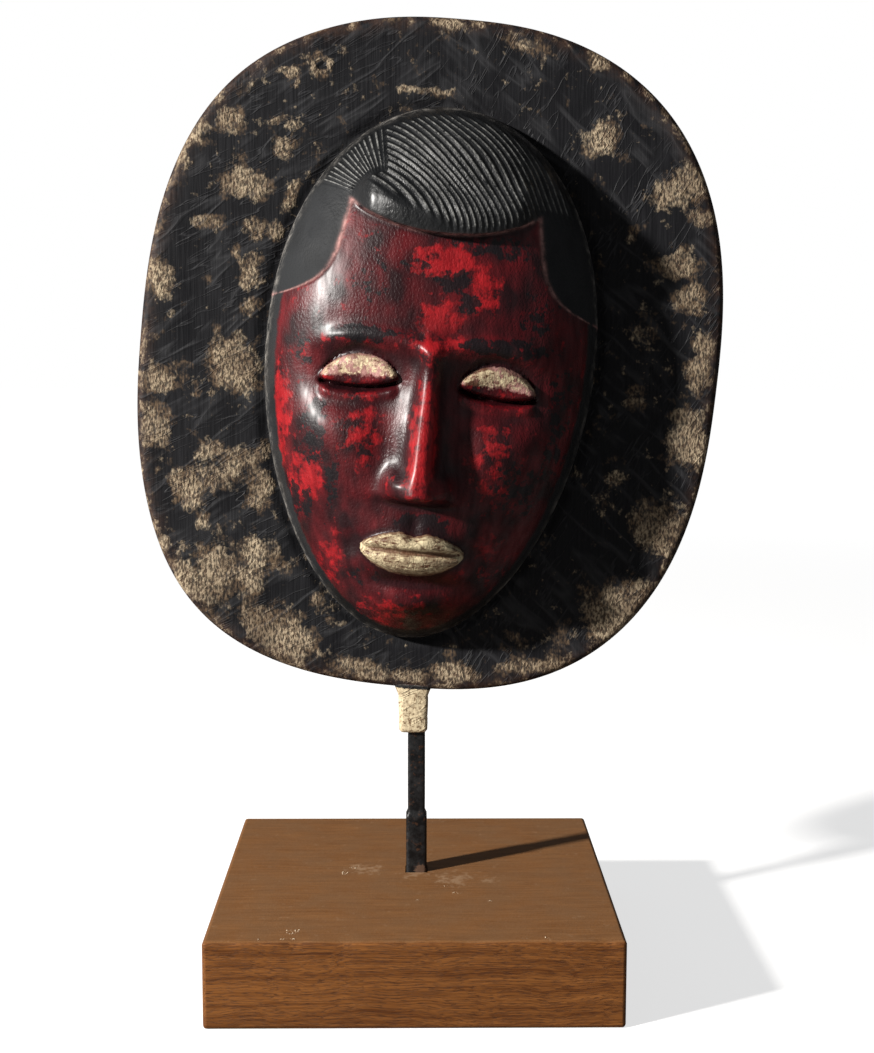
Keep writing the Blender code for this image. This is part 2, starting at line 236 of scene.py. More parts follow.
swellList = {               # across, up, reach across, reach up, lift
    "socket": (31.0, -3.0, 24.0, 15.0, -8.0),
    "cheekbone": (46.0, -26.0, 17.0, 13.0, 2.6),
    "cheek": (36.0, -44.0, 22.0, 24.0, 2.4),
    "jawHollow": (42.0, -74.0, 14.0, 20.0, -1.8),
    "besideNose": (18.0, -34.0, 7.0, 20.0, -2.0),
    "muzzle": (0.0, -78.0, 24.0, 17.0, 5.0),
    "mouthCorner": (28.0, -79.0, 5.0, 6.0, -2.2),
    "philtrum": (0.0, -66.0, 3.4, 5.0, -1.6),
    "underLip": (0.0, -95.0, 19.0, 4.5, -3.2),
    "chin": (0.0, -108.0, 18.0, 10.0, 5.5),
    "nostril": (11.0, -49.0, 5.2, 6.5, 7.5),
}
maskMesh = {
    "columns": 184,
    "rows": 260,
    "crowding": 0.4,
    "discRings": 24,
    "rimSteps": 5,
    "sideRings": 2,
    "backRings": 3,
    "hollowRings": 9,
}
barCentre = (barLow + barHigh) / 2.0
discFront = barCentre.y - disc["thick"] / 2.0
discCentre = Vector(((maskLow.x + maskHigh.x) / 2.0, discFront, maskHigh.z))
leanCos = math.cos(disc["lean"])
leanSin = math.sin(disc["lean"])


def ramp(low, high, value):
    t = np.clip((value - low) / (high - low), 0.0, 1.0)
    return t * t * (3.0 - 2.0 * t)


def bell(value, reach):
    return np.exp(-((value / reach) ** 2))


def discRadius(bearing):
    power = disc["squareness"]
    across = (np.abs(np.cos(bearing)) / (disc["wide"] / 2.0)) ** power
    up = (np.abs(np.sin(bearing)) / (disc["high"] / 2.0)) ** power
    share = 1.0
    for middle, reach, swell in disc["handCut"]:
        away = (np.degrees(bearing) - middle + 180.0) % 360.0 - 180.0
        share = share + swell * bell(away, reach)
    return share * (across + up) ** (-1.0 / power)


def placeDisc():             # the disc touches the top and the right of the mask's box, so its centre follows
    bearings = np.linspace(0.0, math.tau, 7200)
    rise = discRadius(bearings) * (np.sin(bearings) * leanCos - np.cos(bearings) * leanSin)
    reach = discRadius(bearings) * (np.cos(bearings) * leanCos + np.sin(bearings) * leanSin)
    discCentre.x = maskHigh.x - float(reach.max())
    discCentre.z = maskHigh.z - float(rise.max())


def toWorld(across, up, out):
    x = discCentre.x + across * leanCos + up * leanSin
    z = discCentre.z - across * leanSin + up * leanCos
    return np.stack([x, discFront - out, z], axis=-1)


def toMask(points):
    x = points[:, 0] - discCentre.x
    z = points[:, 2] - discCentre.z
    return x * leanCos - z * leanSin, x * leanSin + z * leanCos, discFront - points[:, 1]


def onDisc(pixelX, pixelY):  # a pixel of the picture to the disc's front: across and up, in metres
    across, rise, _ = toMask(np.array([seenAt(pixelX, pixelY, 1, discFront)]))
    return float(across[0]), float(rise[0])


# The carving, in the head's own shares

def headRadius(x, y):          # 0 at the head's centre, 1 on its egg-shaped edge
    half = head["halfAcross"] * (1.0 + head["egg"] * y / head["halfUp"])
    return np.hypot(x / half, y / head["halfUp"])


def fringeEdge(across):
    bow = np.minimum(across / hairCut["cornerAcross"], 1.0) ** 2.2
    return hairCut["middle"] + (hairCut["corner"] - hairCut["middle"]) * bow


def sideburnEdge(y):
    fall = (hairCut["corner"] - y) / (hairCut["corner"] - hairCut["sideburnEnd"])
    fall = np.clip(fall, 0.0, 1.0)
    return hairCut["cornerAcross"] + hairCut["sideburnFlare"] * fall + hairCut["sideburnSweep"] * fall**6


def hairInside(x, y):          # how far into the hair, negative on the face
    across = np.abs(x)
    inFringe = y - fringeEdge(across)
    inSideburn = np.minimum(across - sideburnEdge(y), y - hairCut["sideburnEnd"])
    return np.maximum(inFringe, inSideburn)


def fringeShare(x):
    return ramp(hairCut["cornerAcross"] + 2.0, hairCut["cornerAcross"] - 10.0, np.abs(x))


def hairRelief(x, y):
    inside = hairInside(x, y)
    low, high = hairCut["sideburnLift"], hairCut["lift"]
    cap = (low + (high - low) * fringeShare(x)) * ramp(-1.2, 1.4, inside)
    reach = hairCut["rollReach"]
    roll = hairCut["roll"] * bell(inside - reach, reach) * ramp(-0.8, 1.6, inside) * fringeShare(x)
    slant = hairCut["strandSlant"]
    run = y * math.cos(slant) + x * math.sin(slant) - 0.004 * x * x
    strands = hairCut["strandDeep"] * np.cos(math.tau * run / hairCut["strandPitch"])
    return cap + roll + strands * ramp(2.0, 10.0, inside) * ramp(60.0, 80.0, y)


def eyeParts(x, y):            # how open along the eye, the height of its slit, and how far up the lid
    along = (np.abs(x) - eye["across"]) / eye["half"]
    inside = np.clip(1.0 - along**2, 0.0, 1.0)
    slit = eye["level"] - eye["slitSag"] * inside - eye["slitTilt"] * along
    upLid = (y - slit) / (eye["lidHigh"] * np.maximum(inside, 0.02) ** 0.8)
    return inside, slit, upLid


def eyeRelief(x, y):
    inside, slit, upLid = eyeParts(x, y)
    ball = np.clip(1.0 - (upLid - 0.25) ** 2 / 1.10, 0.0, 1.0) ** 0.8 * ramp(0.0, 0.35, inside)
    lid = eye["lidLift"] * ball * ramp(-0.16, 0.06, upLid)
    crease = -1.3 * bell(upLid - 1.30, 0.20) * ramp(0.0, 0.3, inside)
    lower = eye["lowerLidLift"] * bell(y - slit + 4.2, 2.6) * ramp(0.0, 0.4, inside)
    groove = -eye["slitDeep"] * bell(y - slit + 0.4, 1.25) * ramp(0.0, 0.25, inside)
    browLine = eye["brow"] - 0.007 * (np.abs(x) - 27.0) ** 2
    brow = eye["browLift"] * bell(y - browLine, 4.6) * ramp(60.0, 38.0, np.abs(x))
    return lid + crease + lower + groove + brow


def noseRelief(x, y):
    root, base = noseCut["root"], noseCut["base"]
    down = np.clip((root - y) / (root - base), 0.0, 1.1)
    low, high = noseCut["rootLift"], noseCut["tipLift"]
    lift = (low + (high - low) * down**1.2) * ramp(root + 14.0, root - 8.0, y)
    half = noseCut["ridge"] + noseCut["spread"] * down**1.6
    away = np.abs(x) / half
    under = ramp(base - 2.2, base + 3.6, y)
    return lift * (0.64 * np.exp(-(away**3)) + 0.36 * np.exp(-((away / 2.0) ** 2))) * under


def lipParts(x, y):            # how far up the upper lip, down the lower lip, and from the corners
    along = x / mouth["half"]
    inside = np.clip(1.0 - along**2, 0.0, 1.0)
    dip = 1.0 - mouth["bow"] * bell(along, 0.17)
    upper = (y - mouth["level"]) / (mouth["upperLip"] * np.maximum(inside, 0.02) ** 0.75 * dip)
    lower = (mouth["level"] - y) / (mouth["lowerLip"] * np.maximum(inside, 0.02) ** 0.7)
    return upper, lower, inside


def lipRelief(x, y):
    upper, lower, inside = lipParts(x, y)
    shape = ramp(1.08, 0.72, upper) * ramp(1.08, 0.66, lower) * ramp(0.0, 0.25, inside)
    seam = -mouth["seamDeep"] * bell(y - mouth["level"], 1.7) * ramp(0.0, 0.3, inside)
    return mouth["lift"] * shape + seam


def swells(x, y):
    total = 0.0
    for across, up, reachAcross, reachUp, lift in swellList.values():
        total = total + lift * bell(np.abs(x) - across, reachAcross) * bell(y - up, reachUp)
    across, up, reachAcross, reachUp, lift = swellList["nostril"]
    wing = lift * bell(np.abs(x) - across, reachAcross) * bell(y - up, reachUp)
    return total - wing * (1.0 - ramp(noseCut["base"] - 3.0, noseCut["base"] + 3.0, y))


def headPoint(x, y):           # shares of the head to metres: across, up and out of the disc's front
    radius = headRadius(x, y)
    dome = head["relief"] * np.sqrt(np.clip(1.0 - radius ** head["domePower"], 0.0, 1.0))
    carving = swells(x, y) + eyeRelief(x, y) + noseRelief(x, y) + lipRelief(x, y) + hairRelief(x, y)
    out = (dome + carving * ramp(1.0, 0.80, radius)) * head["rise"] / head["relief"]
    out = out - disc["grooveDeep"] * radius**12
    inside = hairInside(x, y)
    hang = hairCut["overhang"] * bell(inside - 2.4, 2.0) * fringeShare(x)
    across = x * head["wide"] / (2.0 * head["halfAcross"])
    up = (y - hang) * head["high"] / (2.0 * head["halfUp"]) - head["drop"]
    return across, up, out


def toShares(across, up):
    x = across * 2.0 * head["halfAcross"] / head["wide"]
    y = (up + head["drop"]) * 2.0 * head["halfUp"] / head["high"]
    return x, y


# The mask's skin: the face on a grid, then rings out over the rim and into the hollow back

def crowd(value):
    share = maskMesh["crowding"]
    return (1.0 - share) * value + share * np.sin(value * math.pi / 2.0)


def gridLines(count, bumps):   # lines from -1 to 1, closer together at each (level, reach, weight)
    steps = np.linspace(-1.0, 1.0, 1601)
    density = 1.0 + sum(weight * bell(crowd(steps) - level, reach) for level, reach, weight in bumps)
    run = np.concatenate([[0.0], np.cumsum((density[1:] + density[:-1]) / 2.0)])
    return np.interp(np.linspace(0.0, run[-1], count + 1), run, steps)


def faceGrid():
    columns = gridLines(maskMesh["columns"], [(0.0, 0.25, 0.4)])
    levels = (eye["level"], noseCut["base"], mouth["level"], hairCut["middle"])
    bumps = [(level / head["halfUp"], 0.05, 0.9) for level in levels] + [(0.75, 0.25, 0.9)]
    a, b = np.meshgrid(columns, gridLines(maskMesh["rows"], bumps))
    x = a * np.sqrt(1.0 - b * b / 2.0)   # a square grid laid on a round plate
    y = b * np.sqrt(1.0 - a * a / 2.0)
    radius = np.maximum(np.hypot(x, y), 1e-9)
    grow = crowd(radius) / radius
    y = y * grow * head["halfUp"]
    x = x * grow * head["halfAcross"] * (1.0 + head["egg"] * y / head["halfUp"])
    return x, y


def skinRings(edgeAcross, edgeUp):
    bearing = np.arctan2(edgeUp, edgeAcross)
    start = np.hypot(edgeAcross, edgeUp)
    rim = discRadius(bearing)
    rings = []                 # radius from the disc's centre, out of its front
    end = rim - disc["rimRound"]
    count = maskMesh["discRings"]
    for k in range(1, count + 1):
        share = (k / count) ** 1.5
        radius = start + (end - start) * share
        out = -disc["grooveDeep"] * (1.0 - ramp(0.0, disc["grooveWide"], radius - start))
        rings.append((radius, out))
    steps = maskMesh["rimSteps"]
    for k in range(1, steps + 1):
        turn = math.radians(90.0 * k / steps)
        drop = disc["rimRound"] * (1.0 - math.cos(turn))
        rings.append((rim - disc["rimRound"] * (1.0 - math.sin(turn)), -drop + 0.0 * rim))
    side = disc["thick"] - disc["rimRound"] - disc["backRound"]
    for k in range(1, maskMesh["sideRings"] + 1):
        rings.append((rim, -disc["rimRound"] - side * k / maskMesh["sideRings"] + 0.0 * rim))
    for k in range(1, steps + 1):
        turn = math.radians(90.0 * k / steps)
        inset = disc["backRound"] * (1.0 - math.cos(turn))
        out = -disc["thick"] + disc["backRound"] * (1.0 - math.sin(turn))
        rings.append((rim - inset, out + 0.0 * rim))
    points = [(radius * np.cos(bearing), radius * np.sin(bearing), out) for radius, out in rings]

    headUp = edgeUp + head["drop"]
    scale = 1.0 - head["hollowRim"] / np.hypot(edgeAcross, headUp)
    mouthAcross, mouthUp = edgeAcross * scale, headUp * scale - head["drop"]
    lastAcross, lastUp, lastOut = points[-1]
    for k in range(1, maskMesh["backRings"] + 1):
        share = k / maskMesh["backRings"]
        across = lastAcross + (mouthAcross - lastAcross) * share
        up = lastUp + (mouthUp - lastUp) * share
        points.append((across, up, lastOut))
    deep = head["rise"] + disc["thick"] - head["faceWall"]
    for k in range(1, maskMesh["hollowRings"] + 1):
        turn = math.radians(90.0 * k / (maskMesh["hollowRings"] + 1))
        share = math.cos(turn) ** 0.8
        rise = deep * math.sin(turn) ** 0.8
        points.append((mouthAcross * share, (mouthUp + head["drop"]) * share - head["drop"], lastOut + rise))
    return points, -disc["thick"] + deep


def skinMesh():
    x, y = faceGrid()
    index = np.arange(x.size).reshape(x.shape)
    loop = np.concatenate([index[0, :], index[1:, -1], index[-1, -2::-1], index[-2:0:-1, 0]])
    across, up, out = headPoint(x.ravel(), y.ravel())
    places = [toWorld(across, up, out)]
    shares = [np.stack([x.ravel(), y.ravel()], axis=-1)]
    quads = np.stack([index[:-1, :-1], index[:-1, 1:], index[1:, 1:], index[1:, :-1]], axis=-1).reshape(-1, 4)
    faces = [quads]
    rings, crown = skinRings(across[loop], up[loop])
    total = x.size
    inner = loop
    for ringAcross, ringUp, ringOut in rings:
        outer = np.arange(total, total + len(loop))
        total += len(loop)
        places.append(toWorld(ringAcross, ringUp, ringOut))
        shares.append(np.stack(toShares(ringAcross, ringUp), axis=-1))
        faces.append(np.stack([inner, outer, np.roll(outer, -1), np.roll(inner, -1)], axis=-1))
        inner = outer
    places.append(toWorld(np.zeros(1), np.full(1, -head["drop"]), np.full(1, crown)))
    shares.append(np.zeros((1, 2)))
    fan = np.stack([inner, np.full(len(inner), total), np.roll(inner, -1)], axis=-1)
    mesh = bpy.data.meshes.new("maskSkin")
    points = np.concatenate(places)
    mesh.from_pydata(points.tolist(), [], np.concatenate(faces).tolist() + fan.tolist())
    frontCount = x.size + len(loop) * (maskMesh["discRings"] + maskMesh["rimSteps"])
    front = np.arange(len(points)) < frontCount
    return mesh, points, np.concatenate(shares), front


# Worn paint, placed by the picture: x, y, width, height in pixels, turn in degrees, strength

wearSpots = [
    (320, 66, 24, 22, 0, 1.0), (290, 71, 17, 11, 0, 0.8), (341, 52, 16, 12, 0, 0.5),
    (242, 82, 22, 22, 0, 0.6), (199, 130, 22, 24, 0, 0.9), (183, 155, 14, 26, 0, 0.5),
    (230, 121, 32, 22, 0, 0.8), (279, 119, 28, 22, 0, 0.5), (281, 147, 20, 20, 0, 0.9),
    (243, 184, 48, 28, 0, 1.1), (207, 221, 34, 14, -10, 0.9), (291, 197, 10, 40, 20, 0.7),
    (263, 229, 42, 20, 0, 0.9), (236, 250, 10, 16, 0, 0.7), (252, 274, 21, 36, 0, 0.9),
    (252, 304, 18, 22, 0, 0.8), (162, 276, 30, 36, 0, 1.0), (171, 315, 10, 14, 0, 0.5),
    (232, 366, 48, 56, 0, 1.2), (158, 380, 32, 28, 0, 1.0), (154, 428, 30, 50, 0, 1.1),
    (209, 449, 28, 20, 0, 0.8), (225, 472, 95, 34, -35, 0.8), (190, 487, 42, 38, 0, 0.9),
    (259, 487, 28, 44, 0, 0.9), (156, 471, 10, 12, 0, 0.6), (203, 519, 14, 18, 0, 0.8),
    (161, 542, 16, 26, 0, 0.9), (267, 551, 24, 22, 0, 0.8), (283, 566, 24, 18, 0, 0.7),
    (213, 580, 50, 80, 0, 0.9), (250, 581, 34, 62, 0, 0.8), (183, 575, 22, 40, 0, 1.0),
    (277, 636, 80, 46, 25, 1.1), (323, 594, 20, 34, 0, 0.5), (332, 622, 22, 22, 0, 0.5),
    (360, 668, 62, 20, 12, 1.0), (448, 23, 40, 12, 0, 1.0), (425, 91, 50, 9, 0, 0.7),
    (522, 41, 44, 22, 20, 0.6), (598, 59, 22, 20, 30, 1.0), (603, 138, 34, 28, -40, 1.1),
    (682, 187, 62, 34, -32, 1.2), (705, 219, 32, 16, 0, 0.8), (674, 265, 36, 34, 0, 0.9),
    (689, 299, 30, 26, 0, 1.0), (631, 237, 12, 16, 0, 0.7), (650, 327, 44, 32, 0, 0.5),
    (705, 345, 22, 22, 0, 0.9), (698, 376, 27, 34, 0, 0.9), (688, 416, 34, 20, 0, 1.0),
    (689, 444, 42, 50, 0, 1.1), (658, 525, 54, 52, 0, 1.2), (635, 588, 44, 16, 0, 0.9),
    (614, 613, 70, 60, -40, 1.1), (592, 590, 24, 24, 0, 0.6), (539, 666, 62, 16, -8, 1.0),
    (454, 672, 46, 18, 0, 1.0), (635, 400, 20, 26, 0, 0.5), (619, 478, 16, 24, 0, 0.4),
    (518, 641, 40, 20, 0, 0.4), (569, 636, 34, 24, 0, 0.5), (410, 676, 40, 14, 0, 0.9),
]
wearSoft = 0.85                # how far a spot fades out, as a share of its half-width
knotHole = (322, 67, 11, 6, -35, 1.0)   # the hole in the upper left knot, placed the same way


def spotField(points, spots, soft):
    across, up, _ = toMask(points)
    field = np.zeros(len(points))
    pixel = 1.0 / (view["focalPixels"] / -(view["place"][1] - discFront))
    for pixelX, pixelY, wide, high, turn, strength in spots:
        spotAcross, spotUp = onDisc(pixelX, pixelY)
        turned = math.radians(turn)
        a = (across - spotAcross) * math.cos(turned) - (up - spotUp) * math.sin(turned)
        b = (across - spotAcross) * math.sin(turned) + (up - spotUp) * math.cos(turned)
        reach = np.hypot(a / (wide * pixel / 2.0), b / (high * pixel / 2.0))
        field = np.maximum(field, min(strength, 1.0) * ramp(1.0 + soft, 1.0 - soft, reach))
    return field


# Paint on the head, in the head's own shares: across, up, width, height, strength

darkSpots = [
    (6.0, 44.0, 20.0, 12.0, 0.85), (14.0, 36.0, 12.0, 15.0, 0.8), (-10.0, 50.0, 15.0, 8.0, 0.65),
    (-50.0, -26.0, 13.0, 34.0, 0.8), (-57.0, -62.0, 18.0, 22.0, 0.8), (-40.0, -50.0, 9.0, 24.0, 0.75),
    (-26.0, -34.0, 11.0, 18.0, 0.55), (44.0, -46.0, 24.0, 30.0, 0.65), (3.0, -66.0, 26.0, 12.0, 0.95),
    (8.0, -106.0, 30.0, 12.0, 0.55), (-34.0, 18.0, 46.0, 9.0, 0.8), (34.0, 17.0, 46.0, 9.0, 0.85),
    (-58.0, 8.0, 12.0, 20.0, 0.6), (24.0, 62.0, 54.0, 12.0, 0.65), (-20.0, -94.0, 18.0, 14.0, 0.5),
    (62.0, -20.0, 14.0, 70.0, 0.6), (46.0, 34.0, 20.0, 26.0, 0.55), (-30.0, 40.0, 20.0, 26.0, 0.45),
]
brightSpots = [
    (2.0, 54.0, 30.0, 16.0, 0.9), (22.0, 42.0, 16.0, 22.0, 0.7), (2.0, 24.0, 22.0, 26.0, 1.0),
    (-68.0, -30.0, 12.0, 56.0, 0.95), (-52.0, -50.0, 18.0, 26.0, 0.8), (-26.0, -26.0, 20.0, 32.0, 0.6),
    (0.0, -28.0, 15.0, 56.0, 0.75), (-38.0, -90.0, 14.0, 24.0, 0.6), (32.0, -36.0, 26.0, 34.0, 0.5),
    (-10.0, -112.0, 26.0, 14.0, 0.5), (36.0, -78.0, 16.0, 26.0, 0.45),
]


def shareField(x, y, spots):
    field = np.zeros(len(x))
    for across, up, wide, high, strength in spots:
        reach = np.hypot((x - across) / (wide / 2.0), (y - up) / (high / 2.0))
        field = np.maximum(field, strength * ramp(1.5, 0.5, reach))
    return field


comb = {
    "centre": (-58.0, 36.0),    # the long strokes are arcs about this point
    "pitch": 2.75,
    "unevenness": 0.8,
    "firstArc": 50.0,
    "fanCentre": (-26.0, 76.0), # the short strokes at the upper left radiate from here
    "fanFrom": 98.0,            # degrees
    "fanTo": 168.0,
    "fanReach": 15.0,
}


def combField(x, y):           # phase of the comb lines in turns, and where they are cut
    inside = hairInside(x, y)
    edge = headRadius(x, y)
    drift = np.sin(0.13 * x + 1.7 * np.sin(0.07 * y)) + 0.7 * np.sin(0.21 * y + 0.06 * x)
    arc = np.hypot(x - comb["centre"][0], y - comb["centre"][1]) + comb["unevenness"] * drift
    fanX, fanY = x - comb["fanCentre"][0], y - comb["fanCentre"][1]
    fanAngle = np.degrees(np.arctan2(fanY, fanX))
    fanReach = np.hypot(fanX, fanY)
    inFan = (fanAngle > comb["fanFrom"]) & (fanReach > comb["fanReach"])
    fan = (np.radians(fanAngle) * 34.0 + 0.6 * comb["unevenness"] * np.sin(0.2 * fanAngle)) / comb["pitch"]
    smoothRoll = 1.0 + 9.0 * ramp(12.0, -26.0, x)
    main = ramp(comb["firstArc"], comb["firstArc"] + 3.0, arc) * ramp(0.0, 3.5, inside - smoothRoll)
    main = main * ramp(0.975, 0.94, edge) * np.maximum(ramp(46.0, 38.0, x), ramp(74.0, 84.0, y)) * ramp(-52.0, -44.0, x)
    side = ramp(comb["fanReach"], comb["fanReach"] + 4.0, fanReach) * ramp(0.985, 0.955, edge)
    side = side * ramp(comb["fanTo"], comb["fanTo"] - 6.0, fanAngle)
    side = side * ramp(comb["fanFrom"], comb["fanFrom"] + 4.0, fanAngle)
    return np.where(inFan, fan, arc / comb["pitch"]), np.where(inFan, side * (inside > 4.0), main)


def hollows(count):            # where the carving lies under, or stands over, its surroundings, from -1 to 1
    x, y = faceGrid()
    height = headPoint(x, y)[2]
    around = np.pad(height, 3, mode="edge")
    for axis in (0, 1):
        for _ in range(3):
            around = (np.roll(around, 2, axis) + around + np.roll(around, -2, axis)) / 3.0
    field = np.zeros(count)
    field[:height.size] = np.clip((height - around[3:-3, 3:-3]).ravel() / (0.9 * mm), -1.0, 1.0)
    return field


def paintMasks(mesh, points, shares, front):
    x, y = shares[:, 0], shares[:, 1]
    across, up, _ = toMask(points)
    radius = np.maximum(headRadius(x, y), 1e-6)
    reach = np.hypot(x * head["wide"] / (2.0 * head["halfAcross"]), y * head["high"] / (2.0 * head["halfUp"]))
    headEdge = np.where(front, reach * (1.0 - 1.0 / radius) / mm, 30.0)
    onHead = front & (radius <= 1.0)
    insideEye, _, upLid = eyeParts(x, y)
    upper, lower, insideLip = lipParts(x, y)
    lid = ramp(0.02, 1.0, upLid) * ramp(1.34, 0.98, upLid) * ramp(0.0, 0.34, insideEye)
    lip = ramp(1.12, 0.98, upper) * ramp(1.12, 0.98, lower) * ramp(0.02, 0.12, insideLip)
    phase, combed = combField(x, y)
    rim = (discRadius(np.arctan2(up, across)) - np.hypot(across, up)) / mm
    masks = {
        "headEdge": headEdge,
        "hairEdge": np.where(onHead, np.clip(hairInside(x, y), -12.0, 12.0), -12.0),
        "rimEdge": np.where(front, rim, 0.0),
        "carved": hollows(len(points)),
        "knot": spotField(points, [knotHole], 0.35),
        "lidPaint": lid * onHead,
        "lipPaint": lip * onHead,
        "creamWear": spotField(points, wearSpots, wearSoft) * (front & (radius > 1.0)),
        "darkWear": shareField(x, y, darkSpots) * onHead,
        "brightWear": shareField(x, y, brightSpots) * onHead,
        "sideburn": ramp(30.0, 52.0, np.abs(x)) * ramp(92.0, 78.0, y) * onHead,
        "combPhase": phase,
        "combMask": combed * onHead,
        "discFace": (front & (radius > 1.0)) * ramp(0.0, 5.0, headEdge) * ramp(0.0, 3.0, rim),
        "backSide": ~front,
        "backRim": np.where(front, 30.0, rim),
        "tangPaint": np.zeros(len(points)),
    }
    for name, values in masks.items():
        layer = mesh.attributes.new(name, "FLOAT", "POINT")
        layer.data.foreach_set("value", np.asarray(values, np.float32))


# Geometry Nodes: the comb lines and the marks of the knife, cut along the surface's normal

tooling = {
    "Comb Depth": 0.42 * mm,
    "Knife Mark Size": 0.011,
    "Knife Mark Depth": 0.55 * mm,
    "Grain Width": 0.0016,
    "Grain Depth": 0.14 * mm,
    "Gouge Size": 0.016,
    "Gouge Depth": 1.1 * mm,
    "Seed": 7,
}


def addNode(tree, kind, values=None, **settings):
    node = tree.nodes.new(kind)
    for key, value in settings.items():
        setattr(node, key, value)
    for key, value in (values or {}).items():
        socket = node.inputs[key]
        if isinstance(value, bpy.types.NodeSocket):
            tree.links.new(value, socket)
        else:
            socket.default_value = value
    return node


def mathNode(tree, operation, first, second=0.0, third=0.0, clamp=False):
    values = {0: first, 1: second}
    if operation in ("MULTIPLY_ADD", "SMOOTH_MIN", "SMOOTH_MAX", "COMPARE"):
        values[2] = third
    return addNode(tree, "ShaderNodeMath", values, operation=operation, use_clamp=clamp).outputs[0]


def paintOver(tree, mask, below, above):   # a colour over another where the mask is 1
    node = addNode(tree, "ShaderNodeMix", data_type="RGBA")
    for key, value in (("Factor_Float", mask), ("A_Color", below), ("B_Color", above)):
        socket = next(s for s in node.inputs if s.identifier == key)
        if isinstance(value, bpy.types.NodeSocket):
            tree.links.new(value, socket)
        elif key == "Factor_Float":
            socket.default_value = value
        else:
            socket.default_value = (*value, 1.0)
    return next(s for s in node.outputs if s.identifier == "Result_Color")


class Brush:                   # short names for the nodes and groups that one tree is mixed from
    def __init__(self, tree, place=None, groups=None):
        self.tree, self.place, self.groups = tree, place, groups

    def maths(self, operation, first, second=0.0):
        return mathNode(self.tree, operation, first, second)

    def times(self, first, second, clamp=False):
        return mathNode(self.tree, "MULTIPLY", first, second, clamp=clamp)

    def less(self, first, second, clamp=False):
        return mathNode(self.tree, "SUBTRACT", first, second, clamp=clamp)

    def most(self, first, second):
        return mathNode(self.tree, "MAXIMUM", first, second)

    def scaled(self, value, scale, shift, clamp=False):
        return mathNode(self.tree, "MULTIPLY_ADD", value, scale, shift, clamp)

    def over(self, mask, below, above):
        return paintOver(self.tree, mask, below, above)

    def blend(self, mask, below, above):   # as over, for plain numbers
        return self.scaled(mask, self.less(above, below), below)

    def mask(self, name):
        return addNode(self.tree, "ShaderNodeAttribute", attribute_name=name).outputs["Fac"]

    def group(self, name, **values):
        inputs = {"Vector": self.place, **values}
        return addNode(self.tree, "ShaderNodeGroup", inputs, node_tree=self.groups[name]).outputs[0]

    def patch(self, amount, scale, rag, hard):
        return self.group("raggedPatch", Amount=amount, Scale=scale, Raggedness=rag, Hardness=hard)

    def grain(self, stretch, scale, contrast, **place):
        return self.group("woodGrain", Stretch=stretch, Scale=scale, Contrast=contrast, **place)

    def wrinkles(self, slant, scale, length, width, spread):
        return self.group("wrinkles", Slant=slant, Scale=scale, Length=length, Width=width, Spread=spread)

    def line(self, distance, middle, width, scale):
        return self.group("wornLine", Distance=distance, Middle=middle, Width=width, Scale=scale)

    def vector(self, operation, *values, output=0):
        node = addNode(self.tree, "ShaderNodeVectorMath", dict(enumerate(values)), operation=operation)
        return node.outputs[output]

    def noise(self, place, scale, detail, roughness=0.5):
        values = {"Vector": place, "Scale": scale, "Detail": detail, "Roughness": roughness}
        return addNode(self.tree, "ShaderNodeTexNoise", values).outputs[0]

    def distance(self, point):
        return self.vector("DISTANCE", self.place, point, output="Value")

    def bump(self, shader, height, strength, reach):
        node = addNode(self.tree, "ShaderNodeBump", {"Height": height, "Strength": strength, "Distance": reach})
        self.tree.links.new(node.outputs[0], shader.inputs["Normal"])


def nodeGroup(name, kind, inputs, outputs):
    tree = bpy.data.node_groups.new(name, kind)
    for label, socketType, value in inputs:
        socket = tree.interface.new_socket(label, in_out="INPUT", socket_type=socketType)
        if value is not None:
            socket.default_value = value
    for label, socketType in outputs:
        tree.interface.new_socket(label, in_out="OUTPUT", socket_type=socketType)
    source = tree.nodes.new("NodeGroupInput").outputs
    sink = tree.nodes.new("NodeGroupOutput").inputs
    return tree, source, sink, Brush(tree)


def shapeGroup(name, numbers):  # a Geometry Nodes tree with these numbers, a seed and a material as its inputs
    inputs = [("Geometry", "NodeSocketGeometry", None)]
    inputs += [(label, "NodeSocketFloat", 0.0) for label in numbers if label != "Seed"]
    inputs += [("Seed", "NodeSocketInt", 0), ("Paint", "NodeSocketMaterial", None)]
    return nodeGroup(name, "GeometryNodeTree", inputs, [("Geometry", "NodeSocketGeometry")])


def endShape(tree, given, result, geometry):
    real = addNode(tree, "GeometryNodeRealizeInstances", {"Geometry": geometry})
    painted = addNode(tree, "GeometryNodeSetMaterial", {"Geometry": real.outputs[0], "Material": given["Paint"]})
    tree.links.new(painted.outputs[0], result["Geometry"])
    return tree


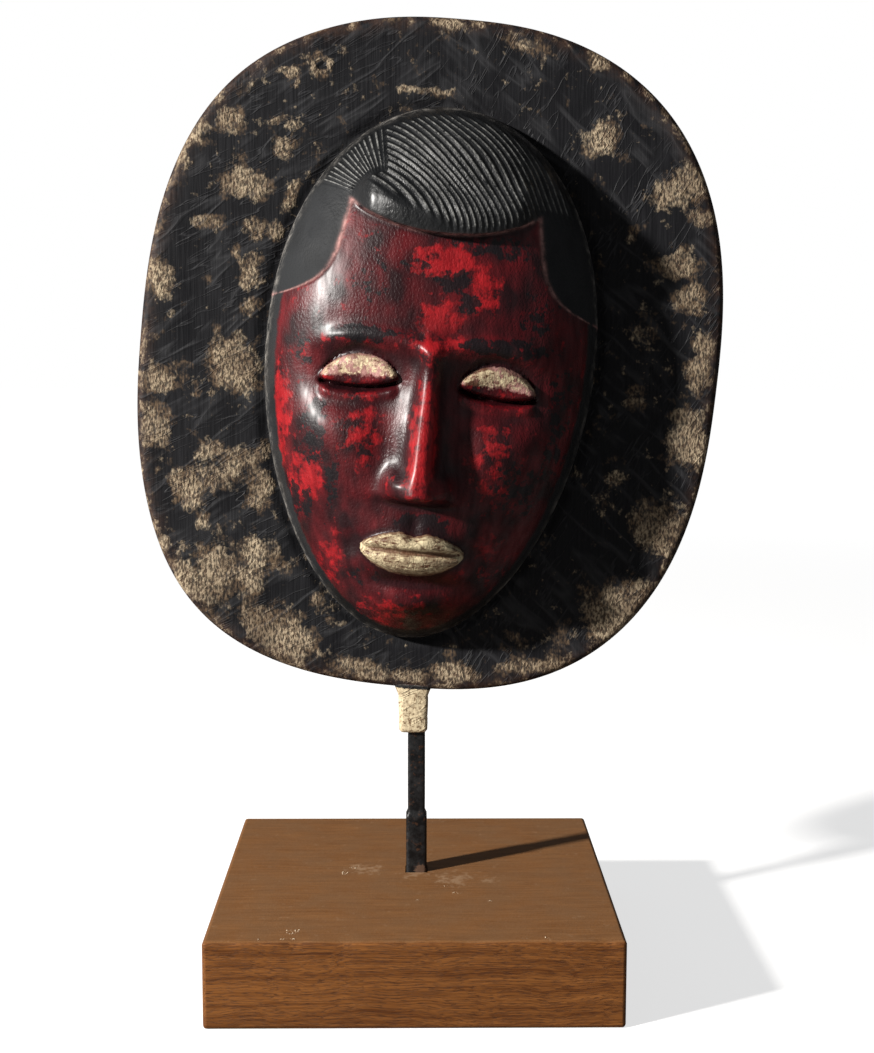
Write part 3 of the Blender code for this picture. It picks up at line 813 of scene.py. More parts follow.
def carvedSurfaceTree():
    tree, given, result, brush = shapeGroup("carvedSurface", tooling)

    def attribute(name):
        return addNode(tree, "GeometryNodeInputNamedAttribute", {"Name": name}, data_type="FLOAT").outputs[0]

    def noise(size, stretch, seedShift):
        place = addNode(tree, "GeometryNodeInputPosition").outputs[0]
        squeezed = brush.vector("MULTIPLY", place, stretch)
        seed = brush.maths("ADD", given["Seed"], seedShift)
        moved = addNode(tree, "ShaderNodeCombineXYZ", {0: seed, 1: seed, 2: seed}).outputs[0]
        fine = brush.maths("DIVIDE", 1.0, given[size])
        return brush.less(brush.noise(brush.vector("ADD", squeezed, moved), fine, 2.0), 0.5)

    wave = brush.maths("COSINE", brush.times(attribute("combPhase"), math.tau))
    groove = brush.times(wave, brush.times(attribute("combMask"), given["Comb Depth"]))
    knife = brush.times(noise("Knife Mark Size", (1.0, 1.0, 0.55), 0.0), given["Knife Mark Depth"])
    grain = brush.times(noise("Grain Width", (1.0, 1.0, 0.08), 3.0), given["Grain Depth"])
    onDiscFace = brush.times(brush.maths("ADD", knife, grain), attribute("discFace"))
    gouge = brush.times(noise("Gouge Size", (1.0, 0.5, 0.4), 5.0), given["Gouge Depth"])
    onBack = brush.times(brush.maths("MINIMUM", gouge, 0.0), attribute("backSide"))
    total = brush.maths("ADD", groove, brush.maths("ADD", onDiscFace, onBack))
    normal = addNode(tree, "GeometryNodeInputNormal").outputs[0]
    offset = addNode(tree, "ShaderNodeVectorMath", {0: normal, "Scale": total}, operation="SCALE").outputs[0]
    moved = addNode(tree, "GeometryNodeSetPosition", {"Geometry": given["Geometry"], "Offset": offset})
    return endShape(tree, given, result, moved.outputs[0])


def useTree(piece, tree, values):
    modifier = piece.modifiers.new(tree.name, "NODES")
    modifier.node_group = tree
    for item in tree.interface.items_tree:
        if item.in_out == "INPUT" and item.name in values:
            modifier[item.identifier] = values[item.name]


def frozen(piece):             # the evaluated shape as a plain mesh, with no modifier left
    graph = bpy.context.evaluated_depsgraph_get()
    mesh = bpy.data.meshes.new_from_object(piece.evaluated_get(graph))
    piece.modifiers.clear()
    piece.data = mesh
    return piece


# The tang under the disc

tang = {
    "wide": 0.0140,
    "deep": 0.0156,
    "high": 0.0387,
    "middle": -0.0008,
    "spread": 1.14,
    "flare": 0.3,
    "corner": 0.0024,
    "rings": 34,
    "sides": 48,
    "rough": 0.35 * mm,
}


def roundedSquare(count, wide, deep, corner):   # points round a rectangle with round corners
    points = []
    for k in range(count):
        bearing = math.tau * k / count
        c, s = math.cos(bearing), math.sin(bearing)
        power = 2.0 / (2.0 + 6.0 * (1.0 - corner / min(wide, deep) * 2.0))
        points.append((abs(c) ** power * math.copysign(wide / 2.0, c), abs(s) ** power * math.copysign(deep / 2.0, s)))
    return points


def loftMesh(name, sections):  # sections: (height, centre x, centre y, outline points), bottom first
    bm = bmesh.new()
    loops = [[bm.verts.new((cx + x, cy + y, z)) for x, y in outline] for z, cx, cy, outline in sections]
    for low, high in zip(loops, loops[1:]):
        for k in range(len(low)):
            after = (k + 1) % len(low)
            bm.faces.new((low[k], low[after], high[after], high[k]))
    bm.faces.new(list(reversed(loops[0])))
    bm.faces.new(loops[-1])
    bmesh.ops.recalc_face_normals(bm, faces=bm.faces)
    return meshOf(name, bm)


def wobble(place, size, seed):  # smooth repeatable unevenness from -1 to 1
    value = 0.0
    for k, share in enumerate((0.5, 0.3, 0.2)):
        rate = (1.0 + 0.9 * k) / size
        value += share * math.sin(place[0] * rate * 1.3 + seed + k) * math.cos(place[1] * rate * 1.1 - seed)
        value += share * math.sin(place[2] * rate + 2.0 * seed + 1.7 * k)
    return value / 2.0


def makeTang():
    sections = []
    for k in range(tang["rings"] + 1):
        share = k / tang["rings"]
        height = maskLow.z + tang["high"] * share
        flare = 1.0 + (tang["spread"] - 1.0) * share + tang["flare"] * ramp(0.46, 0.66, share)
        shrink = 1.0 - 0.10 * (1.0 - ramp(0.0, 0.03, share))
        wide, deep = tang["wide"] * flare * shrink, tang["deep"] * shrink
        outline = []
        for x, y in roundedSquare(tang["sides"], wide, deep, tang["corner"]):
            swell = 1.0 + tang["rough"] / (wide / 2.0) * wobble((x, y, height), 0.0016, 2.0)
            outline.append((x * swell, y * swell))
        sections.append((height, tang["middle"], barCentre.y, outline))
    return linked("tangWood", loftMesh("tangWood", sections))


def boxObject(name, low, high):
    bm = bmesh.new()
    bmesh.ops.create_cube(bm, size=1.0)
    for vert in bm.verts:
        vert.co = [low[i] if vert.co[i] < 0.0 else high[i] for i in range(3)]
    return linked(name, meshOf(name, bm))


def join(piece, tool, operation):
    boolean = piece.modifiers.new(operation, "BOOLEAN")
    boolean.operation = operation
    boolean.object = tool


def cutMortise(piece, barWide, bottom, top):   # a square hole round the bar, with its clearance
    half = barWide / 2.0 + clearance
    low = (barCentre.x - half, barCentre.y - half, bottom)
    mortise = boxObject("mortise", low, (barCentre.x + half, barCentre.y + half, top))
    mortise.data.materials.append(piece.data.materials[0])
    join(piece, mortise, "DIFFERENCE")
    frozen(piece)
    bpy.data.objects.remove(mortise)


def smoothed(piece, degrees):
    piece.data.shade_smooth()
    piece.data.set_sharp_from_angle(angle=math.radians(degrees))


def paintTang(mesh):           # a Boolean brings no attributes over, so the tang's are set again
    count = len(mesh.vertices)
    places = np.empty(count * 3)
    mesh.vertices.foreach_get("co", places)
    places = places.reshape(-1, 3)
    across, up, _ = toMask(places)
    gap = (discRadius(np.arctan2(up, across)) - np.hypot(across, up)) / mm
    onTang = (np.abs(places[:, 0] - tang["middle"]) < 0.014) & (gap < 0.3)
    values = {"headEdge": 30.0, "hairEdge": -12.0, "backSide": 0.0, "creamWear": 0.0, "rimEdge": 30.0}
    for name, value in values.items():
        kept = np.empty(count, np.float32)
        mesh.attributes[name].data.foreach_get("value", kept)
        mesh.attributes[name].data.foreach_set("value", np.where(onTang, value, kept).astype(np.float32))
    painted = np.where(onTang, ramp(0.8, -1.2, gap), 0.0).astype(np.float32)
    mesh.attributes["tangPaint"].data.foreach_set("value", painted)


def makeMask(paint):
    mesh, points, shares, front = skinMesh()
    paintMasks(mesh, points, shares, front)
    mask = linked("carvedMask", mesh)
    useTree(mask, carvedSurfaceTree(), {**tooling, "Paint": paint})
    frozen(mask)
    wood = makeTang()
    wood.data.materials.append(paint)
    join(mask, wood, "UNION")
    cutMortise(mask, ironBar["bar"], maskLow.z - beyond, barHigh.z + clearance)
    bpy.data.objects.remove(wood)
    paintTang(mask.data)
    smoothed(mask, 60.0)
    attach(mask, "root")
    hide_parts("mask")
    print("mask carved,", sum(len(face.vertices) - 2 for face in mask.data.polygons), "triangles")


# Shader groups for what several finishes share

def shaderGroup(name, **sockets):   # a place first, then the named inputs with their first values, and one mask out
    inputs = [("Vector", "NodeSocketVector", None)]
    for label, value in sockets.items():
        inputs.append((label, "NodeSocketVector" if isinstance(value, tuple) else "NodeSocketFloat", value))
    return nodeGroup(name, "ShaderNodeTree", inputs, [("Mask", "NodeSocketFloat")])


def raggedPatchGroup():        # a soft mask turned into a patch with a torn edge
    tree, given, result, brush = shaderGroup("raggedPatch", Amount=0.5, Scale=300.0, Raggedness=0.6, Hardness=6.0)
    texture = brush.noise(given["Vector"], given["Scale"], 3.0, 0.66)
    swing = brush.times(brush.less(texture, 0.5), given["Raggedness"])
    level = brush.less(brush.scaled(swing, 2.0, given["Amount"]), 0.5)
    tree.links.new(brush.scaled(level, given["Hardness"], 0.5, clamp=True), result["Mask"])
    return tree


def woodGrainGroup():          # streaks, long along the axis that Stretch makes small
    tree, given, result, brush = shaderGroup("woodGrain", Stretch=(1.0, 1.0, 0.06), Scale=500.0, Contrast=1.6)
    squeezed = brush.vector("MULTIPLY", given["Vector"], given["Stretch"])
    texture = brush.noise(squeezed, given["Scale"], 1.5, 0.6)
    tone = brush.scaled(brush.less(texture, 0.5), given["Contrast"], 0.5, clamp=True)
    tree.links.new(tone, result["Mask"])
    return tree


def wrinklesGroup():           # thin curving ridges that run at one slant over the front
    tree, given, result, brush = shaderGroup("wrinkles", Slant=0.7, Scale=90.0, Length=5.0, Width=0.02, Spread=-2.1)
    values = {"Vector": given["Vector"], "Angle": given["Slant"]}
    turned = addNode(tree, "ShaderNodeVectorRotate", values, rotation_type="Y_AXIS").outputs[0]
    short = brush.maths("DIVIDE", 1.0, given["Length"])
    stretch = addNode(tree, "ShaderNodeCombineXYZ", {0: 1.0, 1: 1.0, 2: short}).outputs[0]
    folds = brush.noise(brush.vector("MULTIPLY", turned, stretch), given["Scale"], 2.0, 0.55)
    zones = brush.noise(turned, 70.0, 1.0)
    away = brush.maths("ABSOLUTE", brush.less(folds, 0.5))
    line = brush.less(1.0, brush.maths("DIVIDE", away, given["Width"]), clamp=True)
    zone = brush.scaled(zones, 5.0, given["Spread"], clamp=True)
    tree.links.new(brush.times(line, zone), result["Mask"])
    return tree


def crazingGroup():            # fine dark cracks of old paint
    tree, given, result, brush = shaderGroup("crazing", Scale=600.0, Width=0.06)
    values = {"Vector": given["Vector"], "Scale": given["Scale"], "Detail": 1.0}
    shift = addNode(tree, "ShaderNodeTexNoise", values).outputs[1]
    bent = brush.vector("MULTIPLY_ADD", shift, (0.0016,) * 3, given["Vector"])
    values = {"Vector": bent, "Scale": given["Scale"]}
    cells = addNode(tree, "ShaderNodeTexVoronoi", values, feature="DISTANCE_TO_EDGE").outputs[0]
    gap = brush.maths("DIVIDE", cells, given["Width"])
    tree.links.new(brush.less(1.0, gap, clamp=True), result["Mask"])
    return tree


def wornLineGroup():           # wear along an edge, from the distance to it in millimetres
    tree, given, result, brush = shaderGroup("wornLine", Distance=10.0, Middle=0.0, Width=1.0, Scale=180.0)
    away = brush.maths("DIVIDE", brush.less(given["Distance"], given["Middle"]), given["Width"])
    line = brush.maths("EXPONENT", brush.times(brush.times(away, away), -1.0))
    breaks = brush.noise(given["Vector"], given["Scale"], 3.0, 0.7)
    tree.links.new(brush.times(line, brush.scaled(breaks, 3.2, -1.1, clamp=True)), result["Mask"])
    return tree


def newMaterial(name, gloss):
    material = bpy.data.materials.new(name)
    material.use_nodes = True
    tree = material.node_tree
    shader = tree.nodes["Principled BSDF"]
    shader.inputs["Specular IOR Level"].default_value = gloss
    place = addNode(tree, "ShaderNodeTexCoord").outputs["Object"]
    return material, tree, shader, place


# The mask's paint, as linear colours

maskColours = {
    "charcoal": (0.0042, 0.0042, 0.0054),
    "greyBlack": (0.0125, 0.0125, 0.0145),
    "foldHighlight": (0.080, 0.080, 0.084),
    "rimBrown": (0.060, 0.030, 0.019),
    "tan": (0.125, 0.083, 0.050),
    "cream": (0.43, 0.345, 0.235),
    "hair": (0.0034, 0.0038, 0.0044),
    "sideburn": (0.017, 0.018, 0.0195),
    "combRidgeHighlight": (0.22, 0.22, 0.21),
    "wornGrey": (0.23, 0.215, 0.195),
    "red": (0.310, 0.0085, 0.012),
    "crimson": (0.100, 0.0048, 0.0075),
    "wine": (0.0135, 0.0030, 0.0042),
    "faceBlack": (0.0055, 0.0052, 0.0065),
    "pinkWorn": (0.42, 0.22, 0.20),
    "lidCream": (0.62, 0.52, 0.33),
    "lidBrown": (0.10, 0.045, 0.026),
    "tangCream": (0.60, 0.50, 0.33),
    "tangStain": (0.16, 0.10, 0.055),
    "rawWood": (0.150, 0.087, 0.049),
    "rawDark": (0.034, 0.020, 0.013),
}


def maskPaint(groups):
    material, tree, shader, place = newMaterial("maskPaint", 0.16)
    brush = Brush(tree, place, groups)
    colour = maskColours
    headEdge = brush.mask("headEdge")
    hairEdge = brush.mask("hairEdge")
    carved = brush.mask("carved")
    knot = brush.mask("knot")
    sideburn = brush.mask("sideburn")
    lidPaint = brush.mask("lidPaint")
    lipPaint = brush.mask("lipPaint")
    upright = brush.grain((1.0, 1.0, 0.06), 900.0, 2.6)
    broad = brush.grain((1.0, 1.0, 0.6), 60.0, 2.4)

    # the black disc with its wrinkles and a painted highlight along them, browned rim and worn cream
    ground = brush.over(brush.times(upright, broad), colour["charcoal"], colour["greyBlack"])
    across = addNode(tree, "ShaderNodeSeparateXYZ", {0: place}).outputs[0]
    onRight = brush.maths("GREATER_THAN", across, 0.012)
    broadFolds = brush.wrinkles(brush.blend(onRight, -0.95, 0.80), 75.0, 5.0, 0.050, -1.8)
    folds = brush.most(broadFolds, brush.wrinkles(brush.blend(onRight, -1.15, -0.55), 190.0, 6.0, 0.030, -1.9))
    # painted highlight: light grey painted along the ridges of the folds
    ground = brush.over(brush.times(folds, 0.22), ground, colour["foldHighlight"])
    ground = brush.over(knot, ground, colour["charcoal"])
    rimBrown = brush.line(brush.mask("rimEdge"), 0.5, 5.0, 170.0)
    ground = brush.over(brush.times(rimBrown, 0.75), ground, colour["rimBrown"])
    rimWear = brush.times(brush.line(brush.mask("rimEdge"), 1.5, 3.0, 90.0), 0.62)
    wearAmount = brush.most(brush.mask("creamWear"), rimWear)
    wearAmount = brush.less(wearAmount, brush.times(knot, 1.6))
    wearAmount = brush.less(wearAmount, brush.scaled(broad, -0.30, 0.19))
    halo = brush.patch(brush.maths("ADD", wearAmount, 0.02), 120.0, 1.25, 2.6)
    core = brush.patch(brush.less(wearAmount, 0.09), 170.0, 1.45, 2.3)
    core = brush.times(core, brush.scaled(broad, 0.60, 0.55))
    weave = brush.grain((1.0, 1.0, 0.50), 900.0, 4.8)
    mottle = brush.grain((1.0, 1.0, 0.7), 85.0, 3.0)
    specks = brush.patch(0.36, 700.0, 1.3, 5.0)
    ground = brush.over(brush.times(halo, brush.scaled(weave, 0.75, 0.10)), ground, colour["tan"])
    cream = brush.over(brush.times(mottle, 0.55), colour["cream"], colour["tan"])
    ground = brush.over(brush.times(core, brush.scaled(weave, 0.85, 0.15)), ground, cream)
    ground = brush.over(brush.times(brush.times(specks, core), 0.6), ground, colour["rimBrown"])

    # the hair, its combed ridges with a painted highlight along their tops, and the worn edge of the head
    plain = brush.times(brush.scaled(sideburn, 1.0, 0.12), brush.blend(broad, 0.75, 1.1))
    plain = brush.times(plain, brush.scaled(mottle, 0.5, 0.7))
    hairTone = brush.over(plain, colour["hair"], colour["sideburn"])
    wave = brush.scaled(brush.maths("COSINE", brush.times(brush.mask("combPhase"), math.tau)), 0.5, 0.5)
    wave = brush.times(wave, brush.mask("combMask"))
    # painted highlight: light grey painted along the tops of the comb ridges
    ridge = brush.scaled(wave, 3.6, -2.6, clamp=True)
    ridge = brush.times(ridge, brush.patch(0.52, 420.0, 0.8, 2.0))
    hairTone = brush.over(ridge, hairTone, colour["combRidgeHighlight"])
    edgeWear = brush.line(headEdge, -1.3, 1.5, 140.0)
    rubbed = brush.scaled(brush.patch(0.42, 230.0, 1.3, 3.0), 0.75, 0.15)
    hairTone = brush.over(brush.times(edgeWear, rubbed), hairTone, colour["wornGrey"])

    # the lacquer of the face
    lacquer = brush.over(mottle, colour["wine"], colour["crimson"])
    redness = brush.scaled(carved, 0.22, brush.times(brush.mask("brightWear"), 0.72))
    redness = brush.patch(redness, 170.0, 1.15, 2.4)
    lacquer = brush.over(redness, lacquer, colour["red"])
    streak = brush.grain((1.0, 1.0, 0.16), 330.0, 2.6)
    lacquer = brush.over(brush.times(brush.less(1.0, streak), 0.45), lacquer, colour["wine"])
    dark = brush.patch(brush.times(brush.mask("darkWear"), 0.82), 190.0, 1.0, 7.0)
    lacquer = brush.over(brush.times(dark, 0.92), lacquer, colour["faceBlack"])
    # painted shade: the lacquer is darkened towards wine in the carving's hollows
    sootAndHollowShade = brush.times(carved, -1.2, clamp=True)
    lacquer = brush.over(brush.times(sootAndHollowShade, 0.8), lacquer, colour["wine"])
    crazing = brush.group("crazing", Scale=300.0, Width=0.07)
    dashes = brush.grain((0.30, 1.0, 1.0), 800.0, 5.0)
    stains = brush.times(brush.patch(0.52, 240.0, 1.1, 3.0), dashes)
    oldCream = brush.over(brush.most(stains, brush.times(crazing, 0.55)), colour["lidCream"], colour["lidBrown"])
    # painted shade: the old cream on lids and lips darkens to brown in the carving's hollows
    oldCream = brush.over(brush.times(sootAndHollowShade, 0.85), oldCream, colour["lidBrown"])
    lidBase = brush.patch(brush.times(lidPaint, 1.3), 420.0, 0.5, 4.0)
    lacquer = brush.over(lidBase, lacquer, brush.over(mottle, colour["lidBrown"], colour["pinkWorn"]))
    lidPatch = brush.patch(brush.times(lidPaint, 0.74), 260.0, 1.5, 4.0)
    lidPatch = brush.times(brush.times(lidPatch, lidBase), brush.scaled(weave, 0.5, 0.5))
    lacquer = brush.over(lidPatch, lacquer, oldCream)
    lipTone = brush.over(brush.times(brush.patch(0.42, 150.0, 1.2, 3.0), 0.6), oldCream, colour["lidBrown"])
    lacquer = brush.over(brush.patch(lipPaint, 480.0, 0.35, 7.0), lacquer, lipTone)

    # where each of them lies
    inHair = brush.scaled(hairEdge, 4.0, 0.5, clamp=True)
    onWall = brush.patch(brush.scaled(headEdge, 0.25, 2.25), 200.0, 0.4, 3.0)
    blackHead = brush.most(inHair, onWall)
    front = brush.over(blackHead, lacquer, hairTone)
    # worn pink paint along the hairline step, partly a painted highlight on the step's edge
    hairlineWearAndHighlight = brush.line(hairEdge, 0.3, 1.1, 130.0)
    front = brush.over(brush.times(hairlineWearAndHighlight, 0.85), front, colour["pinkWorn"])
    onDiscFace = brush.scaled(headEdge, 2.0, 0.5, clamp=True)
    front = brush.over(onDiscFace, front, ground)
    raw = brush.over(brush.grain((1.0, 1.0, 0.05), 260.0, 2.2), colour["rawDark"], colour["rawWood"])
    raw = brush.over(brush.times(brush.grain((1.0, 1.0, 0.03), 1400.0, 4.0), 0.5), raw, colour["rawDark"])
    overspill = brush.patch(brush.scaled(brush.mask("backRim"), -0.13, 1.0), 90.0, 0.8, 4.0)
    raw = brush.over(brush.times(overspill, 0.9), raw, colour["charcoal"])
    front = brush.over(brush.mask("backSide"), front, raw)
    stained = brush.times(brush.patch(0.44, 300.0, 1.2, 2.0), weave)
    tangTone = brush.over(stained, colour["tangCream"], colour["tangStain"])
    tangTone = brush.over(brush.patch(0.30, 700.0, 1.0, 5.0), tangTone, colour["tangStain"])
    tangShare = brush.patch(brush.mask("tangPaint"), 500.0, 0.7, 5.0)
    front = brush.over(tangShare, front, tangTone)
    tree.links.new(front, shader.inputs["Base Color"])

    rough = brush.blend(onDiscFace, 0.44, 0.62)
    rough = brush.blend(brush.times(inHair, sideburn), rough, 0.66)
    rough = brush.blend(core, rough, 0.8)
    rough = brush.scaled(brush.less(broad, 0.5), 0.22, rough)
    rough = brush.blend(brush.mask("backSide"), rough, 0.7)
    tree.links.new(rough, shader.inputs["Roughness"])
    lacquered = brush.less(1.0, onDiscFace)
    lacquered = brush.times(lacquered, brush.less(1.0, brush.most(lidPaint, lipPaint)))
    lacquered = brush.times(lacquered, brush.less(1.0, brush.times(inHair, sideburn)))
    lacquered = brush.times(lacquered, brush.scaled(streak, 0.30, 0.05, clamp=True))
    lacquered = brush.scaled(lacquered, brush.times(inHair, 1.4), lacquered)
    tree.links.new(lacquered, shader.inputs["Coat Weight"])
    shader.inputs["Coat Roughness"].default_value = 0.30

    relief = brush.scaled(upright, 0.30, brush.times(core, brush.scaled(weave, 1.2, 0.3)))
    relief = brush.maths("ADD", relief, brush.times(folds, 1.05))
    relief = brush.times(relief, onDiscFace)
    relief = brush.scaled(wave, 1.2, relief)
    pimples = brush.grain((1.0, 1.0, 0.7), 900.0, 2.6)
    onHead = brush.less(1.0, onDiscFace)
    relief = brush.scaled(brush.times(pimples, onHead), 0.55, relief)
    relief = brush.scaled(brush.times(redness, onHead), 0.10, relief)
    relief = brush.less(relief, brush.times(knot, 3.0))
    relief = brush.scaled(brush.times(crazing, lipPaint), -0.5, relief)
    brush.bump(shader, relief, 0.6, 0.4 * mm)
    return material


# The iron bar

ironBar = {
    "foot": 0.0106,
    "bar": 0.0088,
    "footTop": 0.0700,
    "shoulder": 0.0022,
    "corner": 0.0011,
    "rings": 120,
    "sides": 48,
    "dents": 0.10 * mm,
}
ironColours = {
    "black": (0.0035, 0.0037, 0.0042),
    "grey": (0.012, 0.012, 0.0125),
    "rust": (0.07, 0.030, 0.014),
    "filler": (0.090, 0.052, 0.034),
}


def barPaint(groups):
    material, tree, shader, place = newMaterial("blackIron", 0.25)
    brush = Brush(tree, place, groups)
    colour = ironColours
    sootAndHollowShade = brush.patch(0.45, 240.0, 0.9, 2.0)
    tone = brush.over(sootAndHollowShade, colour["black"], colour["grey"])
    rust = brush.patch(0.24, 380.0, 1.1, 5.0)
    tone = brush.over(brush.times(rust, 0.6), tone, colour["rust"])
    corner = (barCentre.x + 0.0022, barCentre.y - 0.0053, baseHigh.z + 0.0012)
    filler = brush.patch(brush.scaled(brush.distance(corner), -230.0, 1.15), 700.0, 0.7, 5.0)
    tone = brush.over(filler, tone, colour["filler"])
    tree.links.new(tone, shader.inputs["Base Color"])
    tree.links.new(brush.scaled(sootAndHollowShade, 0.25, 0.36), shader.inputs["Roughness"])
    brush.bump(shader, sootAndHollowShade, 0.5, 0.2 * mm)
    return material


def makeBar(paint):
    sections = []
    for k in range(ironBar["rings"] + 1):
        height = barLow.z + (barHigh.z - barLow.z) * k / ironBar["rings"]
        share = ramp(ironBar["footTop"], ironBar["footTop"] + ironBar["shoulder"], height)
        width = ironBar["foot"] + (ironBar["bar"] - ironBar["foot"]) * share
        outline = []
        for x, y in roundedSquare(ironBar["sides"], width, width, ironBar["corner"]):
            dent = 1.0 - ironBar["dents"] * (1.0 + wobble((x, y, height), 0.006, 4.0)) / width
            outline.append((x * dent, y * dent))
        sections.append((height, barCentre.x, barCentre.y, outline))
    bar = linked("forgedBar", loftMesh("forgedBar", sections))
    bar.data.materials.append(paint)
    smoothed(bar, 50.0)
    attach(bar, "root")
    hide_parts("stand_bar")
    print("bar forged")


# The wooden block

block = {
    "edge": 0.0016,
    "cell": 0.0040,
    "edgeCells": 5,
    "wear": 0.35 * mm,
}
chips = [                      # pixel x, y on the picture, reach and depth in metres, along the front top edge
    (262, 962, 0.0030, 0.0009), (296, 940, 0.0034, 0.0009), (230, 941, 0.0050, 0.0005), (340, 940, 0.0060, 0.0005),
    (410, 941, 0.0040, 0.0006), (470, 940, 0.0070, 0.0005), (606, 938, 0.0060, 0.0011), (560, 939, 0.0040, 0.0005),
]


def edgeLines(low, high):
    near = [low + block["edge"] * 1.25 * k / block["edgeCells"] for k in range(block["edgeCells"])]
    far = [low + high - value for value in reversed(near)]
    start, end = low + block["edge"] * 1.25, high - block["edge"] * 1.25
    count = max(2, round((end - start) / block["cell"]))
    return near + [start + (end - start) * k / count for k in range(count + 1)] + far


def blockMesh():
    lines = [edgeLines(baseLow[i], baseHigh[i]) for i in range(3)]
    counts = [len(line) for line in lines]
    bm = bmesh.new()
    verts = {}

    def corner(i, j, k):
        if (i, j, k) not in verts:
            verts[(i, j, k)] = bm.verts.new((lines[0][i], lines[1][j], lines[2][k]))
        return verts[(i, j, k)]

    for axis in range(3):
        first, second = (axis + 1) % 3, (axis + 2) % 3
        for side in (0, counts[axis] - 1):
            for p in range(counts[first] - 1):
                for q in range(counts[second] - 1):
                    cell = []
                    for dp, dq in ((0, 0), (1, 0), (1, 1), (0, 1)):
                        key = [0, 0, 0]
                        key[axis], key[first], key[second] = side, p + dp, q + dq
                        cell.append(corner(*key))
                    bm.faces.new(cell if side else list(reversed(cell)))
    radius = block["edge"]
    low = baseLow + Vector((radius, radius, radius))
    high = baseHigh - Vector((radius, radius, radius))
    for vert in bm.verts:
        core = Vector([min(max(vert.co[i], low[i]), high[i]) for i in range(3)])
        away = vert.co - core
        if away.length > 1e-9:
            sides = sum(abs(away[i]) > 1e-7 for i in range(3))
            wear = block["wear"] * (0.5 + 0.5 * wobble(vert.co, 0.011, 1.0)) * (sides > 1)
            vert.co = core + away.normalized() * (radius - wear)
    for pixelX, pixelY, reach, deep in chips:
        spot = onBlockEdge(pixelX, pixelY)
        for vert in bm.verts:
            distance = (vert.co - spot).length / reach
            if distance < 1.0:
                vert.co += Vector((0.0, 0.7, -0.7)) * deep * (1.0 - distance**2)
    bmesh.ops.recalc_face_normals(bm, faces=bm.faces)
    return meshOf("woodBlock", bm)


def onBlockEdge(pixelX, pixelY):   # the point of the front face, or of its top edge, seen through a pixel
    hit = seenAt(pixelX, pixelY, 1, baseLow.y)
    return Vector((hit.x, baseLow.y, min(hit.z, baseHigh.z)))


blockColours = {
    "top": (0.170, 0.070, 0.0210),
    "topLight": (0.240, 0.106, 0.0350),
    "topDull": (0.180, 0.095, 0.043),
    "dust": (0.27, 0.155, 0.083),
    "side": (0.080, 0.0245, 0.005),
    "sideLight": (0.222, 0.084, 0.0205),
    "scuff": (0.34, 0.215, 0.125),
    "pore": (0.026, 0.009, 0.0035),
}
footScuffs = [                 # from the foot: across, back, reach
    (-0.026, 0.000, 0.014), (0.020, -0.016, 0.018), (0.0, -0.008, 0.013), (0.036, -0.018, 0.008),
]


def blockPaint(groups):
    material, tree, shader, place = newMaterial("brownWood", 0.18)
    brush = Brush(tree, place, groups)
    normal = addNode(tree, "ShaderNodeNewGeometry").outputs["Normal"]
    upward = addNode(tree, "ShaderNodeSeparateXYZ", {0: normal}).outputs[2]
    top = brush.scaled(upward, 3.0, -1.9, clamp=True)
    colour = blockColours

    drift = addNode(tree, "ShaderNodeTexNoise", {"Vector": place, "Scale": 26.0, "Detail": 2.0}).outputs[1]
    wavy = brush.vector("MULTIPLY_ADD", drift, (0.0, 0.006, 0.006), place)
    bands = brush.grain((0.03, 0.6, 1.0), 230.0, 4.0, Vector=wavy)
    fine = brush.grain((0.018, 1.0, 1.0), 1700.0, 3.4, Vector=wavy)
    side = brush.over(brush.scaled(fine, 0.6, brush.times(bands, 0.4)), colour["side"], colour["sideLight"])
    pores = brush.grain((0.06, 1.0, 1.0), 3000.0, 5.0, Vector=wavy)
    poreMask = brush.scaled(pores, -3.2, 0.75, clamp=True)
    side = brush.over(brush.times(poreMask, 0.7), side, colour["pore"])

    topGrain = brush.grain((0.07, 1.0, 1.0), 520.0, 2.8, Vector=wavy)
    topWood = brush.over(topGrain, colour["top"], colour["topLight"])
    topWood = brush.over(brush.times(brush.patch(0.5, 45.0, 1.1, 1.8), 0.55), topWood, colour["topDull"])
    speckle = brush.patch(0.40, 1500.0, 1.0, 2.0)
    topWood = brush.over(brush.times(speckle, 0.35), topWood, colour["dust"])
    topWood = brush.over(brush.times(brush.patch(0.36, 2100.0, 1.0, 4.0), 0.45), topWood, colour["side"])
    scuff = 0.0
    for across, back, reach in footScuffs:
        centre = (barCentre.x + across, barCentre.y + back, baseHigh.z)
        ring = brush.less(1.0, brush.maths("DIVIDE", brush.distance(centre), reach), clamp=True)
        scuff = brush.most(scuff, ring)
    scuff = brush.patch(brush.times(scuff, 0.70), 260.0, 1.1, 2.5)
    topWood = brush.over(brush.times(scuff, 0.65), topWood, colour["scuff"])
    tree.links.new(brush.over(top, side, topWood), shader.inputs["Base Color"])
    tree.links.new(brush.blend(top, 0.52, 0.60), shader.inputs["Roughness"])
    height = brush.less(brush.times(fine, 0.5), poreMask)
    height = brush.blend(top, height, brush.times(speckle, 0.25))
    brush.bump(shader, height, 0.45, 0.25 * mm)
    return material


def makeBlock(paint):
    wood = linked("woodBlock", blockMesh())
    wood.data.materials.append(paint)
    cutMortise(wood, ironBar["foot"], barLow.z - clearance, baseHigh.z + beyond)
    smoothed(wood, 50.0)
    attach(wood, "root")
    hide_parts("base_block")
    print("block sawn")


# Crumbs of paint and filler that fell on the block

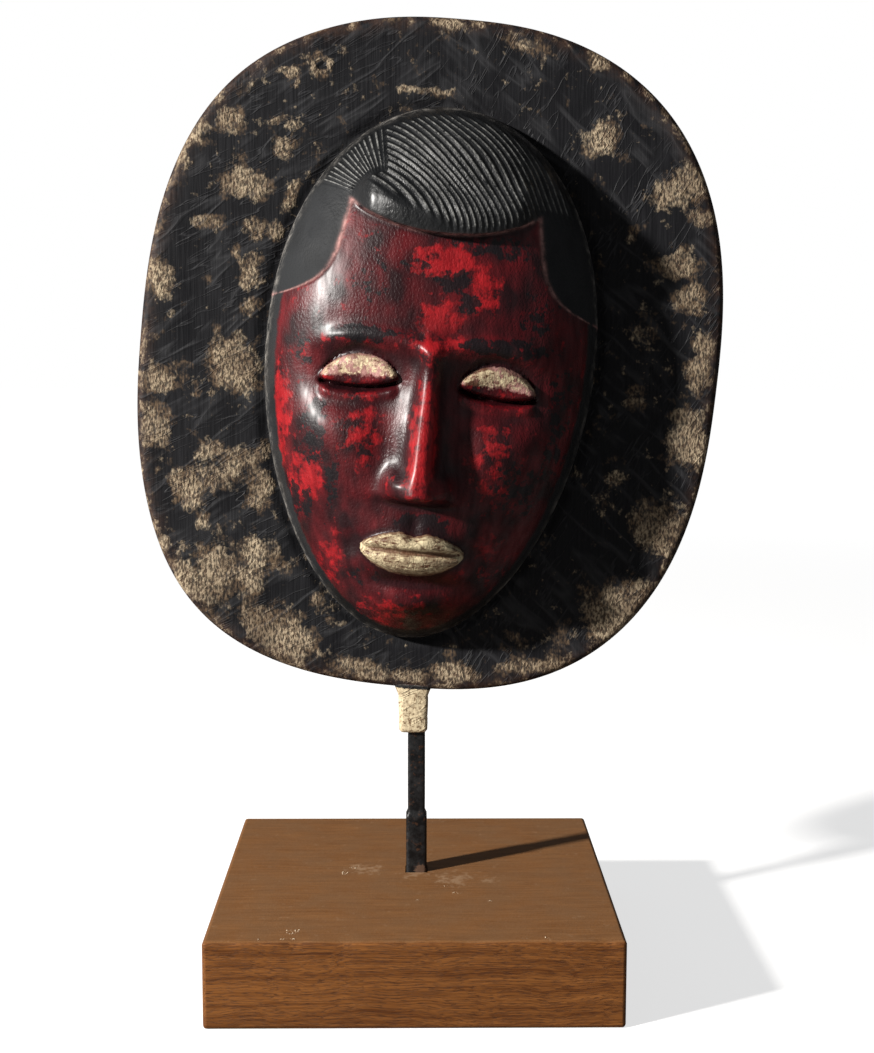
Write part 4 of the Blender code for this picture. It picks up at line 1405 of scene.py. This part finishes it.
crumbs = {
    "Density": 1300000.0,      # on a square metre of the spots
    "Smallest": 0.10 * mm,
    "Largest": 0.50 * mm,
    "Flatness": 0.5,
    "Seed": 4,
}
crumbColours = ((0.26, 0.16, 0.09), (0.74, 0.64, 0.48))
crumbSpots = [                 # pixel x, y on the picture, half the spot's width and depth in metres
    (257, 940, 0.0012, 0.0006), (289, 939, 0.0040, 0.0008), (293, 932, 0.0030, 0.0028), (352, 868, 0.0022, 0.0012),
    (345, 873, 0.0014, 0.0024), (358, 866, 0.0010, 0.0012), (456, 893, 0.0026, 0.0010), (490, 901, 0.0010, 0.0008),
    (418, 900, 0.0012, 0.0010), (524, 938, 0.0014, 0.0006), (547, 938, 0.0016, 0.0006), (446, 886, 0.0010, 0.0008),
]


def crumbTree():
    tree, given, result, brush = shapeGroup("fallenCrumbs", crumbs)
    values = {"Mesh": given["Geometry"], "Density": given["Density"], "Seed": given["Seed"]}
    points = addNode(tree, "GeometryNodeDistributePointsOnFaces", values).outputs["Points"]
    ball = addNode(tree, "GeometryNodeMeshIcoSphere", {"Radius": 1.0, "Subdivisions": 2}).outputs["Mesh"]
    values = {1: (math.tau,) * 3, "Seed": given["Seed"]}
    turn = addNode(tree, "FunctionNodeRandomValue", values, data_type="FLOAT_VECTOR").outputs[0]
    values = {"Seed": brush.maths("ADD", given["Seed"], 1.0)}
    draw = addNode(tree, "FunctionNodeRandomValue", values, data_type="FLOAT").outputs[1]
    rare = brush.maths("POWER", draw, 4.0)
    size = brush.scaled(rare, brush.less(given["Largest"], given["Smallest"]), given["Smallest"])
    values = {0: size, 1: brush.times(size, 0.7), 2: brush.times(size, given["Flatness"])}
    scale = addNode(tree, "ShaderNodeCombineXYZ", values).outputs[0]
    values = {"Points": points, "Instance": ball, "Rotation": turn, "Scale": scale}
    scattered = addNode(tree, "GeometryNodeInstanceOnPoints", values)
    return endShape(tree, given, result, scattered.outputs[0])


def crumbPaint():
    material, tree, shader, place = newMaterial("fallenPaint", 0.2)
    tint = addNode(tree, "ShaderNodeTexNoise", {"Vector": place, "Scale": 900.0, "Detail": 2.0}).outputs[0]
    tree.links.new(paintOver(tree, tint, *crumbColours), shader.inputs["Base Color"])
    shader.inputs["Roughness"].default_value = 0.8
    return material


def makeCrumbs(paint):
    corners, faces = [], []
    for pixelX, pixelY, wide, deep in crumbSpots:
        spot = seenAt(pixelX, pixelY, 2, baseHigh.z)
        middle = max(spot.y, baseLow.y + deep + 0.0006)
        faces.append([len(corners) + k for k in range(4)])
        corners += [(spot.x + i * wide, middle + j * deep, baseHigh.z) for i, j in ((-1, -1), (1, -1), (1, 1), (-1, 1))]
    mesh = bpy.data.meshes.new("paintCrumbs")
    mesh.from_pydata(corners, [], faces)
    scattered = linked("paintCrumbs", mesh)
    useTree(scattered, crumbTree(), {**crumbs, "Paint": paint})
    frozen(scattered)
    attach(scattered, "root")
    print("crumbs fallen,", len(scattered.data.polygons), "triangles")


placeDisc()
bpy.context.scene.view_settings.view_transform = "Standard"
makeCamera()
makeStudio()
print("studio set")
shaderGroups = {
    "raggedPatch": raggedPatchGroup(),
    "woodGrain": woodGrainGroup(),
    "wrinkles": wrinklesGroup(),
    "crazing": crazingGroup(),
    "wornLine": wornLineGroup(),
}
makeMask(maskPaint(shaderGroups))
makeBar(barPaint(shaderGroups))
makeBlock(blockPaint(shaderGroups))
makeCrumbs(crumbPaint())

bpy.context.view_layer.update()
